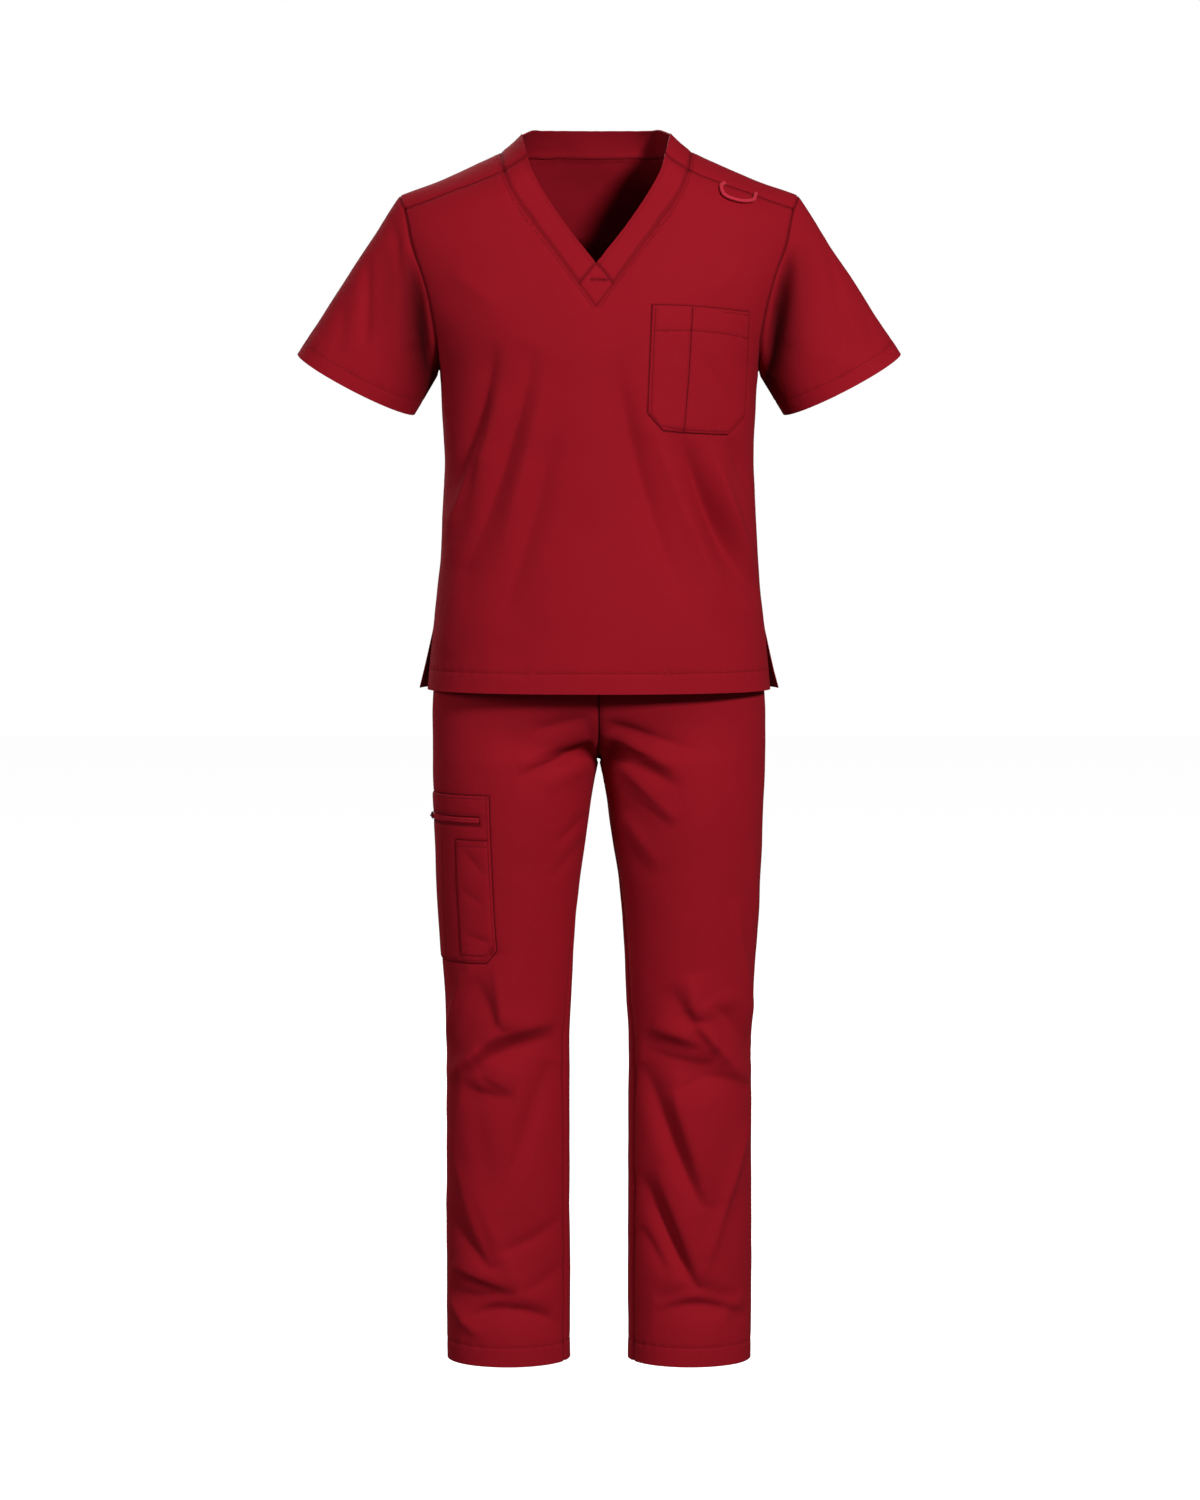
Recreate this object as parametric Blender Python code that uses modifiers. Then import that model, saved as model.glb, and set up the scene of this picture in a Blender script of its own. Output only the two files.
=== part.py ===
"""Medical scrubs: short-sleeved V-neck top over straight trousers with a cargo pocket.

The set hangs filled out and empty. +Z is up, the front faces -Y, +X is the wearer's left.
The row's origin is between the shoulders, where a wearer's shoulders hold the set. The sizes
below count height from just above the trouser hems; ORIGIN_Z takes them to the row's origin.
Metres throughout.
"""
import math

import bpy
import numpy as np
from mathutils import Matrix, Vector, kdtree
from mathutils.geometry import delaunay_2d_cdt

MM = 0.001
ORIGIN_Z = 1.500              # shoulder line above the level that heights count from

# ---- cloth ----
CLOTH = 1.6 * MM              # panel wall
BAND_CLOTH = 2.4 * MM         # folded double neckband
WAIST_CLOTH = 3.0 * MM        # waistband with its elastic
PATCH_CLOTH = 1.2 * MM        # patch pockets and zip tape
SEAM_HALF = 0.15 * MM         # each piece stops this short of its seam
PATCH_LIFT = 0.3 * MM         # underside of a patch above the cloth it lies on
PEN_LIFT = PATCH_LIFT * 2 + PATCH_CLOTH

# ---- body of the top ----
SQUARENESS = 2.3              # superellipse power of a level section
NECK_SHIFT = -0.0035          # the neck sits this far off the middle
FRONT_ROLL = 0.065            # height of the shoulder roll, front
BACK_ROLL = 0.060             # height of the shoulder roll, back
HEM_Z = 0.855
VENT_TOP_Z = 0.942
ARMPIT_Z = 1.258
VENT_FRONT_SET = 0.016        # front edge of the vent from the side line at the hem
VENT_BACK_SET = 0.012
FLAT_HALF = 0.285             # half width of a panel drawn flat

# columns: distance from the neck centre, height of the shoulder ridge
RIDGE = ((0.000, 1.604), (0.040, 1.601), (0.075, 1.583), (0.095, 1.559), (0.122, 1.5365),
         (0.152, 1.5220), (0.197, 1.502), (0.256, 1.480), (0.300, 1.461))

# columns: z, section half width front, section half width back, front depth, back depth
TORSO = (
    (0.855, 0.2195, 0.2305, 0.151, 0.143),
    (0.900, 0.2145, 0.2190, 0.149, 0.140),
    (0.942, 0.2106, 0.2106, 0.147, 0.137),
    (1.019, 0.2030, 0.2030, 0.142, 0.131),
    (1.096, 0.1990, 0.1990, 0.139, 0.127),
    (1.147, 0.1972, 0.1972, 0.139, 0.127),
    (1.198, 0.1990, 0.1990, 0.140, 0.128),
    (1.258, 0.2025, 0.2025, 0.139, 0.130),
    (1.288, 0.2110, 0.2110, 0.137, 0.131),
    (1.324, 0.2260, 0.2260, 0.133, 0.130),
    (1.366, 0.2410, 0.2410, 0.125, 0.127),
    (1.420, 0.2580, 0.2580, 0.109, 0.116),
    (1.460, 0.2650, 0.2650, 0.094, 0.104),
    (1.500, 0.2750, 0.2750, 0.076, 0.091),
    (1.535, 0.2850, 0.2850, 0.062, 0.078),
    (1.568, 0.2850, 0.2850, 0.052, 0.072),
    (1.610, 0.2850, 0.2850, 0.047, 0.070))

# columns: z, half distance between the armhole seams
ARMHOLE = ((1.258, 0.2025), (1.288, 0.2035), (1.324, 0.2095), (1.366, 0.2190),
           (1.420, 0.2370), (1.460, 0.2455), (1.482, 0.2530), (1.500, 0.2560))

# columns: distance from the neck centre, drop of the shoulder seam below the ridge
SHOULDER_SEAM = ((0.085, 0.036), (0.122, 0.0265), (0.152, 0.025), (0.194, 0.021),
                 (0.260, 0.020))

# columns: z, distance from the neck centre; outer seam of the band down the front
BAND_SEAM = ((1.3659, 0.0212), (1.3700, 0.0243), (1.4155, 0.0576), (1.4570, 0.0880),
             (1.4900, 0.1087), (1.5135, 0.1185))
# columns: z, distance from the neck centre; free inner edge of the band down the front
BAND_EDGE = ((1.3925, 0.0000), (1.4345, 0.0335), (1.4875, 0.0690), (1.5260, 0.0888))
NECK_POINT_Z = 1.338
BAND_SEAM_REACH = 0.1175      # where the shoulder seam crosses the band's outer seam
BAND_EDGE_REACH = 0.0880      # where the shoulder seam meets the band's free edge
# columns: distance from the neck centre, z; the band behind the ridge
BACK_SEAM = ((0.122, 1.5365), (0.115, 1.5345), (0.000, 1.5330))
BACK_EDGE = ((0.0947, 1.559), (0.0935, 1.5602), (0.0905, 1.5622), (0.0830, 1.5662),
             (0.0730, 1.5672), (0.000, 1.5675))

# ---- places of the stations along the seams ----
ARMPIT_REACH = 0.2025         # half distance between the armpits
# arcs from the ridge down each armhole, to just above the armpit
ARMHOLE_ARCS_FRONT = (0.0, 0.018, 0.036, 0.0525, 0.076, 0.100, 0.124, 0.150, 0.178, 0.206,
                      0.235, 0.262)
ARMHOLE_ARCS_BACK = (0.0, 0.022, 0.046, 0.072, 0.098, 0.124, 0.150, 0.178, 0.206, 0.235, 0.262)
SHOULDER_AT = 3               # station of the front armhole where the shoulder seam ends
SHOULDER_REACHES = (0.139, 0.162, 0.185, 0.208, 0.231)
BAND_SEAM_STOPS = (1.3659, 1.384, 1.402, 1.420, 1.438, 1.456, 1.474, 1.492)
BAND_EDGE_STOPS = (1.3925, 1.4085, 1.425, 1.4415, 1.458, 1.475, 1.492, 1.509)
BEHIND_SHARES = (0.36, 0.66, 0.86)      # of the way from the shoulder seam to the ridge
BACK_SEAM_STOPS = (0.1205, 0.115, 0.104, 0.089, 0.072, 0.054, 0.036, 0.018)
BACK_EDGE_STOPS = (0.0938, 0.0905, 0.084, 0.074, 0.061, 0.046, 0.031, 0.015)
SIDE_STOPS = 13
VENT_STOPS = 4
HEM_STOPS = 20
LEG_STOPS = 34                # levels from the trouser hem to the crotch
RISE_STOPS = 13               # levels from the crotch to the waist seam
WAIST_STOPS = 11              # stations across each panel's top edge and hem

# ---- sleeves ----
CUFF_CENTRE_X = 0.3090
CUFF_CENTRE_Z = 1.2430
CUFF_HALF = 0.0840            # half width of the cuff, seen from the front
CUFF_DEPTH = 0.0580           # half depth of the cuff, front to back
CUFF_TILT_DEG = 27.5          # the cuff's line falls this far towards the body
CUFF_FRONT_DROP = 0.0095      # the front of the cuff hangs lower than its corners

# ---- chest pocket (wearer's left), seen from the front ----
# columns: x, z of the corners
CHEST_POCKET = ((0.0670, 1.3390), (0.0615, 1.2050), (0.0795, 1.1845), (0.1060, 1.1815),
                (0.1630, 1.1790), (0.1840, 1.2020), (0.1870, 1.2700), (0.1895, 1.3310),
                (0.1530, 1.3350), (0.1150, 1.3380))

# ---- badge loop (wearer's left shoulder), seen from the front ----
LOOP_CORD = 0.0044            # thickness of the cord
# columns: x, z along the cord
BADGE_LOOP = ((0.1575, 1.4935), (0.1525, 1.4880), (0.1545, 1.4790), (0.1660, 1.4715),
              (0.1800, 1.4690), (0.1930, 1.4715), (0.1975, 1.4815))

# ---- trousers ----
CROTCH_Z = 0.766
LEG_HEM_Z = -0.0075
CROTCH_RISE = 0.110           # height over which the crotch curve turns upright
WAIST_SEAM_Z = 0.985
WAIST_TOP_Z = 1.023
INSEAM_TURN_DEG = 24.0        # the inseam shows this far round the lower leg
INSEAM_TURN_Z = 0.400

# columns: z, outseam x, inseam x, front depth, back depth of one leg
LEG = (
    (-0.0075, 0.1960, 0.0372, 0.0790, 0.0790),
    (0.072, 0.1965, 0.0372, 0.0780, 0.0780),
    (0.200, 0.1965, 0.0374, 0.0765, 0.0780),
    (0.328, 0.1960, 0.0376, 0.0765, 0.0785),
    (0.404, 0.1962, 0.0380, 0.0785, 0.0800),
    (0.456, 0.1975, 0.0352, 0.0815, 0.0830),
    (0.507, 0.2010, 0.0330, 0.0850, 0.0865),
    (0.558, 0.2045, 0.0300, 0.0895, 0.0910),
    (0.609, 0.2072, 0.0248, 0.0940, 0.0960),
    (0.660, 0.2090, 0.0175, 0.0990, 0.1020),
    (0.712, 0.2112, 0.0100, 0.1030, 0.1080),
    (0.740, 0.2124, 0.0052, 0.1040, 0.1110),
    (0.766, 0.2130, 0.0000, 0.1050, 0.1130),
    (0.820, 0.2130, 0.0000, 0.1060, 0.1160),
    (1.030, 0.1600, 0.0000, 0.1060, 0.1160))

# columns: z, half width, front depth, back depth of the hips
HIPS = (
    (0.740, 0.2124, 0.114, 0.124),
    (0.766, 0.2130, 0.118, 0.128),
    (0.820, 0.2130, 0.122, 0.136),
    (0.850, 0.2120, 0.124, 0.137),
    (0.880, 0.2075, 0.124, 0.135),
    (0.905, 0.2015, 0.123, 0.131),
    (0.940, 0.1890, 0.119, 0.123),
    (0.985, 0.1690, 0.110, 0.111),
    (1.023, 0.1640, 0.107, 0.108))

# ---- cargo pocket (wearer's right leg); distances run round the leg from the outseam ----
POCKET_TOP = 0.7235
POCKET_BOTTOM = 0.5105
POCKET_FRONT = 0.1315         # front edge ahead of the outseam, at its top
POCKET_LEAN = 0.010           # the front edge leans back on its way down
POCKET_BACK = 0.058           # back edge behind the outseam
POCKET_CHAMFER = 0.016
ZIP_Z = 0.6925
ZIP_HALF = 0.0050
ZIP_FRONT = 0.117
ZIP_BACK = 0.018
PEN_TOP = 0.6665
PEN_FRONT = 0.125
PEN_BACK = 0.078
PEN_BOTTOM = 0.5195
PEN_LEAN = 0.006
PEN_CHAMFER = 0.013

# ---- zip slider and pull; laid along the zip at the outseam end ----
SLIDER_AT = 0.002             # behind the outseam
SLIDER_LONG = 9.0 * MM
SLIDER_WIDE = 9.0 * MM
SLIDER_THICK = 1.7 * MM
SLIDER_CLEAR = 0.3 * MM       # slider above the zip's chain
BRIDGE_LONG = 6.4 * MM
BRIDGE_WIDE = 1.8 * MM
BRIDGE_TALL = 2.6 * MM        # outside height of the bridge
BRIDGE_WALL = 0.7 * MM
PULL_BAR = 1.0 * MM           # thickness of the pull's crossbar and plate
PULL_LONG = 15.0 * MM
PULL_WIDE = 6.4 * MM
PULL_WINDOW = 5.6 * MM        # length of the eye that straddles the bridge
PULL_WINDOW_WIDE = 3.4 * MM

# ---- folds: soft troughs (negative) and ridges (positive) ----
# columns: x and z at one end, x and z at the other, half width, height, lean to the first end
TOP_FRONT_FOLDS = (
    (-0.094, 1.292, -0.150, 1.150, 0.016, -0.0040, 0.8),
    (-0.150, 1.150, -0.188, 1.040, 0.020, -0.0040, 1.0),
    (-0.052, 1.270, -0.098, 1.020, 0.018, -0.0030, 0.9),
    (-0.120, 1.230, -0.168, 1.010, 0.014, 0.0035, 1.0),
    (0.020, 1.240, 0.052, 1.060, 0.017, -0.0030, 1.0),
    (0.062, 1.180, 0.128, 0.980, 0.018, -0.0040, 0.8),
    (0.120, 1.160, 0.165, 1.020, 0.015, -0.0035, 0.8),
    (0.145, 1.170, 0.192, 0.990, 0.010, 0.0040, 0.9),
    (-0.178, 1.010, -0.196, 0.900, 0.014, 0.0030, 1.0),
    (-0.070, 1.000, -0.120, 0.875, 0.024, -0.0030, 1.2),
    (0.150, 0.980, 0.165, 0.880, 0.022, -0.0025, 1.2),
    (0.030, 1.020, 0.060, 0.890, 0.026, 0.0025, 1.2))
TOP_BACK_FOLDS = (
    (-0.110, 1.330, -0.160, 1.120, 0.020, -0.0045, 0.9),
    (0.105, 1.320, 0.155, 1.110, 0.020, -0.0045, 0.9),
    (-0.040, 1.250, -0.070, 0.990, 0.022, -0.0035, 1.0),
    (0.050, 1.230, 0.085, 0.960, 0.022, -0.0035, 1.0),
    (0.000, 1.180, 0.006, 0.920, 0.018, 0.0040, 1.0),
    (-0.130, 1.060, -0.155, 0.890, 0.018, 0.0035, 1.0),
    (0.125, 1.050, 0.160, 0.885, 0.018, 0.0035, 1.0))
# columns as above, with distance beyond the shoulder tip in place of x
SLEEVE_FOLDS = (
    (0.236, 1.410, 0.228, 1.300, 0.010, -0.0060, 0.9),
    (0.262, 1.440, 0.300, 1.290, 0.016, -0.0045, 0.8),
    (0.252, 1.400, 0.262, 1.270, 0.011, 0.0040, 1.0))
LEG_FRONT_FOLDS_RIGHT = (
    (-0.008, 0.785, -0.078, 0.756, 0.011, -0.0060, 0.7),
    (-0.014, 0.800, -0.082, 0.792, 0.013, 0.0040, 0.8),
    (-0.016, 0.762, -0.070, 0.735, 0.012, 0.0040, 0.8),
    (-0.140, 0.545, -0.122, 0.442, 0.016, -0.0060, 1.2),
    (-0.160, 0.530, -0.185, 0.400, 0.010, 0.0045, 1.0),
    (-0.152, 0.394, -0.048, 0.424, 0.012, -0.0070, 0.7),
    (-0.135, 0.418, -0.185, 0.366, 0.010, 0.0060, 1.0),
    (-0.172, 0.378, -0.104, 0.344, 0.011, -0.0065, 1.2),
    (-0.060, 0.385, -0.110, 0.270, 0.017, -0.0035, 0.9),
    (-0.165, 0.360, -0.140, 0.210, 0.014, -0.0040, 1.0),
    (-0.190, 0.290, -0.132, 0.128, 0.013, -0.0065, 1.3),
    (-0.180, 0.255, -0.100, 0.090, 0.010, 0.0050, 1.2),
    (-0.186, 0.110, -0.104, 0.085, 0.011, -0.0060, 1.3),
    (-0.155, 0.062, -0.106, 0.074, 0.009, -0.0050, 1.0),
    (-0.106, 0.074, -0.055, 0.054, 0.009, -0.0050, 1.0),
    (-0.186, 0.070, -0.150, 0.030, 0.010, 0.0040, 1.0))
LEG_FRONT_FOLDS_LEFT = (
    (0.010, 0.790, 0.092, 0.745, 0.011, -0.0080, 0.9),
    (0.012, 0.812, 0.066, 0.796, 0.010, -0.0050, 0.8),
    (0.030, 0.788, 0.098, 0.772, 0.012, 0.0045, 1.0),
    (0.018, 0.748, 0.086, 0.706, 0.011, -0.0055, 0.9),
    (0.024, 0.716, 0.066, 0.672, 0.013, -0.0030, 0.9),
    (0.112, 0.450, 0.132, 0.398, 0.012, -0.0060, 1.0),
    (0.052, 0.412, 0.142, 0.396, 0.011, -0.0070, 1.1),
    (0.118, 0.442, 0.180, 0.466, 0.012, 0.0050, 0.8),
    (0.172, 0.590, 0.192, 0.400, 0.008, 0.0050, 1.0),
    (0.098, 0.366, 0.176, 0.382, 0.010, -0.0055, 0.9),
    (0.058, 0.388, 0.126, 0.218, 0.014, -0.0065, 1.2),
    (0.052, 0.250, 0.120, 0.110, 0.015, -0.0065, 1.3),
    (0.188, 0.300, 0.138, 0.130, 0.009, 0.0055, 1.1),
    (0.072, 0.076, 0.118, 0.096, 0.009, -0.0055, 1.0),
    (0.118, 0.096, 0.180, 0.078, 0.009, -0.0055, 1.0),
    (0.186, 0.084, 0.150, 0.040, 0.010, 0.0040, 1.0))
LEG_BACK_FOLDS_RIGHT = (
    (-0.010, 0.790, -0.095, 0.770, 0.013, -0.0070, 0.8),
    (-0.014, 0.745, -0.090, 0.708, 0.014, -0.0065, 0.8),
    (-0.020, 0.700, -0.075, 0.655, 0.013, -0.0045, 0.8),
    (-0.150, 0.640, -0.128, 0.470, 0.018, -0.0050, 1.0),
    (-0.050, 0.440, -0.165, 0.420, 0.012, -0.0070, 1.0),
    (-0.070, 0.400, -0.172, 0.372, 0.012, -0.0065, 1.0),
    (-0.060, 0.420, -0.150, 0.396, 0.010, 0.0050, 1.0),
    (-0.080, 0.330, -0.150, 0.130, 0.016, -0.0055, 1.1),
    (-0.070, 0.100, -0.160, 0.078, 0.011, -0.0055, 1.0))
LEG_BACK_FOLDS_LEFT = (
    (0.012, 0.795, 0.098, 0.762, 0.013, -0.0070, 0.8),
    (0.016, 0.748, 0.082, 0.700, 0.014, -0.0065, 0.8),
    (0.022, 0.695, 0.080, 0.660, 0.013, -0.0045, 0.8),
    (0.140, 0.620, 0.160, 0.450, 0.018, -0.0050, 1.0),
    (0.055, 0.430, 0.170, 0.404, 0.012, -0.0070, 1.0),
    (0.060, 0.388, 0.160, 0.378, 0.012, -0.0060, 1.0),
    (0.160, 0.320, 0.090, 0.140, 0.016, -0.0055, 1.1),
    (0.065, 0.084, 0.165, 0.104, 0.011, -0.0055, 1.0))

# ---- drawing steps ----
PANEL_STEP = 0.025
SLEEVE_ROWS = 8
BAND_COLUMNS = 2
WAIST_ROWS = 2
CORD_SIDES = 8
NUDGE = 1e-9


def smooth(table, column, at):
    """Read a table's column at any height, with an even curve through its rows."""
    rows = np.array(table, float)
    rows = rows[np.argsort(rows[:, 0])]
    x = rows[:, 0]
    y = rows[:, column]
    h = np.diff(x)
    slope = np.diff(y) / h
    tangent = np.zeros(len(x))
    tangent[0] = slope[0]
    tangent[-1] = slope[-1]
    for i in range(1, len(x) - 1):
        if slope[i - 1] * slope[i] > 0:
            w1 = 2 * h[i] + h[i - 1]
            w2 = h[i] + 2 * h[i - 1]
            tangent[i] = (w1 + w2) / (w1 / slope[i - 1] + w2 / slope[i])
    at = np.asarray(at, float)
    i = np.clip(np.searchsorted(x, at) - 1, 0, len(x) - 2)
    t = np.clip((at - x[i]) / h[i], 0, 1)
    a = y[i] * (1 + 2 * t) * (1 - t) ** 2 + y[i + 1] * t * t * (3 - 2 * t)
    return a + h[i] * (tangent[i] * t * (1 - t) ** 2 - tangent[i + 1] * t * t * (1 - t))


def off_neck(x):
    """Distance from the neck's own centre, which fades to the middle at the shoulders."""
    fade = np.clip(1 - (np.abs(x) / 0.25) ** 2, 0, 1)
    return np.abs(x - NECK_SHIFT * fade)


def ridge(x):
    return smooth(RIDGE, 1, off_neck(x))


def roll_drop(arc, radius):
    """Height fallen after going this far over the shoulder's roll."""
    quarter = radius * math.pi / 2
    return np.where(arc < quarter, radius * (1 - np.cos(np.minimum(arc, quarter) / radius)),
                    radius + arc - quarter)


def roll_arc(drop, radius):
    """The reverse of roll_drop."""
    bent = radius * np.arccos(np.clip(1 - drop / radius, -1, 1))
    return np.where(drop < radius, bent, radius * math.pi / 2 + drop - radius)


def body_point(flat, arc):
    """Top's surface at a flat distance from the middle and an arc from the ridge."""
    flat = np.asarray(flat, float)
    arc = np.asarray(arc, float)
    back = arc > 0
    radius = np.where(back, BACK_ROLL, FRONT_ROLL)
    turn = np.clip(flat / FLAT_HALF, -1, 1) * math.pi / 2
    across = np.sign(turn) * np.abs(np.sin(turn)) ** (2 / SQUARENESS)
    deep = np.abs(np.cos(turn)) ** (2 / SQUARENESS)
    drop = roll_drop(np.abs(arc), radius)
    x = across * 0.24
    for _ in range(25):
        z = ridge(x) - drop
        half = np.where(back, smooth(TORSO, 2, z), smooth(TORSO, 1, z))
        x = across * half
    z = ridge(x) - drop
    depth = np.where(back, smooth(TORSO, 4, z), smooth(TORSO, 3, z))
    rolled = np.sin(np.minimum(np.abs(arc) / radius, math.pi / 2))
    y = np.where(back, 1.0, -1.0) * depth * deep * rolled
    return np.stack([x, y, z], -1)


def body_flat(x, z, back):
    """Flat place on the top of a point seen at x, z."""
    x = np.asarray(x, float)
    z = np.asarray(z, float)
    half = smooth(TORSO, 2 if back else 1, z)
    share = np.clip(np.abs(x) / half, 0, 1) ** (SQUARENESS / 2)
    flat = np.sign(x) * np.arcsin(share) / (math.pi / 2) * FLAT_HALF
    radius = BACK_ROLL if back else FRONT_ROLL
    arc = roll_arc(np.maximum(ridge(x) - z, 0), radius)
    return np.stack([flat, arc if back else -arc], -1)


def solve_drop(xs, drops, back):
    return body_flat(xs, ridge(xs) - drops, back)


def armhole_stations():
    """Flat places down one armhole: front from the ridge to the armpit, then the back."""
    out = []
    for back in (False, True):
        radius = BACK_ROLL if back else FRONT_ROLL
        last = float(roll_arc(ridge(ARMPIT_REACH) - ARMPIT_Z, radius))
        arcs = (*(ARMHOLE_ARCS_BACK if back else ARMHOLE_ARCS_FRONT), last)
        side = []
        for arc in arcs:
            drop = float(roll_drop(np.array(arc), radius))
            x = 0.24
            for _ in range(60):
                z = float(ridge(x)) - drop
                x = 0.5 * x + 0.5 * float(smooth(ARMHOLE, 1, z))
            flat = body_flat(x, float(ridge(x)) - drop, back)
            if arc == last:
                flat = np.array([FLAT_HALF, flat[1]])
            side.append((float(flat[0]), arc if back else -arc))
        out.append(side)
    return out


def line_between(a, b, step):
    """Even stations from a to b, both included."""
    a = np.asarray(a, float)
    b = np.asarray(b, float)
    count = max(1, int(round(np.linalg.norm(b - a) / step)))
    return [a + (b - a) * i / count for i in range(count + 1)]


def side_stations(back):
    """Flat places down one side seam from the armpit to the vent, then along the vent."""
    heights = [ARMPIT_Z + (VENT_TOP_Z - ARMPIT_Z) * i / SIDE_STOPS
               for i in range(SIDE_STOPS + 1)]
    seam = []
    for z in heights:
        half = float(smooth(TORSO, 1, z))
        radius = BACK_ROLL if back else FRONT_ROLL
        arc = float(roll_arc(np.array(ridge(half) - z), radius))
        seam.append((FLAT_HALF, arc if back else -arc))
    vent = []
    for i in range(1, VENT_STOPS + 1):
        z = VENT_TOP_Z + (HEM_Z - VENT_TOP_Z) * i / VENT_STOPS
        half = float(smooth(TORSO, 2 if back else 1, z))
        radius = BACK_ROLL if back else FRONT_ROLL
        arc = float(roll_arc(np.array(ridge(half) - z), radius))
        inset = (VENT_BACK_SET if back else VENT_FRONT_SET) * i / VENT_STOPS
        vent.append((FLAT_HALF - inset, arc if back else -arc))
    return seam, vent


def hem_stations(back, from_flat):
    """Flat places along the hem from one vent to the other."""
    out = []
    for i in range(1, HEM_STOPS):
        flat = from_flat * (1 - 2 * i / HEM_STOPS)
        out.append(tuple(at_height(flat, HEM_Z, back)))
    return out


def at_height(flat, z, back):
    """Flat place straight below a flat distance, at a given height."""
    turn = flat / FLAT_HALF * math.pi / 2
    across = math.copysign(abs(math.sin(turn)) ** (2 / SQUARENESS), turn)
    x = across * float(smooth(TORSO, 2 if back else 1, z))
    radius = BACK_ROLL if back else FRONT_ROLL
    arc = float(roll_arc(np.array(float(ridge(x)) - z), radius))
    return flat, arc if back else -arc


def neck_lines():
    """Seen-from-the-front places of the neckband's lines, measured from the neck centre."""
    outer = [(float(smooth(BAND_SEAM, 1, z)), z) for z in BAND_SEAM_STOPS]
    inner = [(float(smooth(BAND_EDGE, 1, z)), z) for z in BAND_EDGE_STOPS]
    return outer, inner


def fold_height(x, z, rows):
    """Sum of the folds of one table at points seen from the front."""
    total = np.zeros(np.shape(x))
    for x0, z0, x1, z1, width, height, lean in rows:
        dx = x1 - x0
        dz = z1 - z0
        length = math.hypot(dx, dz)
        along = ((x - x0) * dx + (z - z0) * dz) / length ** 2
        across = ((x - x0) * dz - (z - z0) * dx) / length
        inside = np.clip(along, 0, 1) ** lean
        swell = np.clip(4 * inside * (1 - inside), 0, 1) ** 0.7
        total += height * swell * np.exp(-(across / width) ** 2)
    return total


def triangulate(outline, lines, step):
    """Fill a closed flat outline with even triangles that keep to the lines inside it."""
    outline = np.array(outline, float)
    points = [tuple(p) for p in outline]
    extra = []
    for line in lines:
        ids = []
        for p in line:
            near = [k for k, q in enumerate(points) if math.dist(p, q) < 1e-6]
            if near:
                ids.append(near[0])
            else:
                points.append(tuple(p))
                ids.append(len(points) - 1)
        extra += [(ids[k], ids[k + 1]) for k in range(len(ids) - 1)]
    count = len(outline)
    edges = [(k, (k + 1) % count) for k in range(count)] + extra
    low = outline.min(0)
    high = outline.max(0)
    columns = max(2, int(round((high[0] - low[0]) / step)))
    rows = max(2, int(round((high[1] - low[1]) / step)))
    grid_u = np.linspace(low[0], high[0], columns + 1)
    grid_v = np.linspace(low[1], high[1], rows + 1)
    uu, vv = np.meshgrid(grid_u, grid_v)
    inner = np.stack([uu.ravel(), vv.ravel()], -1)
    inner = inner[inside_polygon(inner, outline)]
    borders = [(points[a], points[b]) for a, b in edges]
    for a, b in borders:
        a = np.array(a)
        b = np.array(b)
        ab = b - a
        t = np.clip(((inner - a) @ ab) / max(ab @ ab, 1e-12), 0, 1)
        gap = np.linalg.norm(inner - (a + t[:, None] * ab), axis=1)
        inner = inner[gap > 0.42 * step]
    points += [tuple(p) for p in inner]
    verts, _, faces, origin, _, _ = delaunay_2d_cdt(
        [Vector(p) for p in points], edges, [list(range(count))], 1, 1e-7, True)
    flat = np.array([tuple(v) for v in verts])
    faces = [list(f) for f in faces]
    triangles = []
    centres = np.array([flat[f].mean(0) for f in faces])
    within = inside_polygon(centres, outline)
    for face, kept in zip(faces, within):
        if not kept:
            continue
        a, b, c = (flat[k] for k in face)
        area = (b[0] - a[0]) * (c[1] - a[1]) - (c[0] - a[0]) * (b[1] - a[1])
        if abs(area) < 1e-12:
            continue
        triangles.append(face if area > 0 else face[::-1])
    exact = flat.copy()
    for k, sources in enumerate(origin):
        if sources:
            exact[k] = points[sources[0]]
    return exact, np.array(triangles)


def inside_polygon(points, polygon):
    """True for each flat point inside the closed polygon."""
    points = np.asarray(points, float)
    polygon = np.asarray(polygon, float)
    inside = np.zeros(len(points), bool)
    j = len(polygon) - 1
    for i in range(len(polygon)):
        xi, yi = polygon[i]
        xj, yj = polygon[j]
        if yi != yj:
            crosses = (yi > points[:, 1]) != (yj > points[:, 1])
            at = (xj - xi) * (points[:, 1] - yi) / (yj - yi) + xi
            inside ^= crosses & (points[:, 0] < at)
        j = i
    return inside


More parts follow.
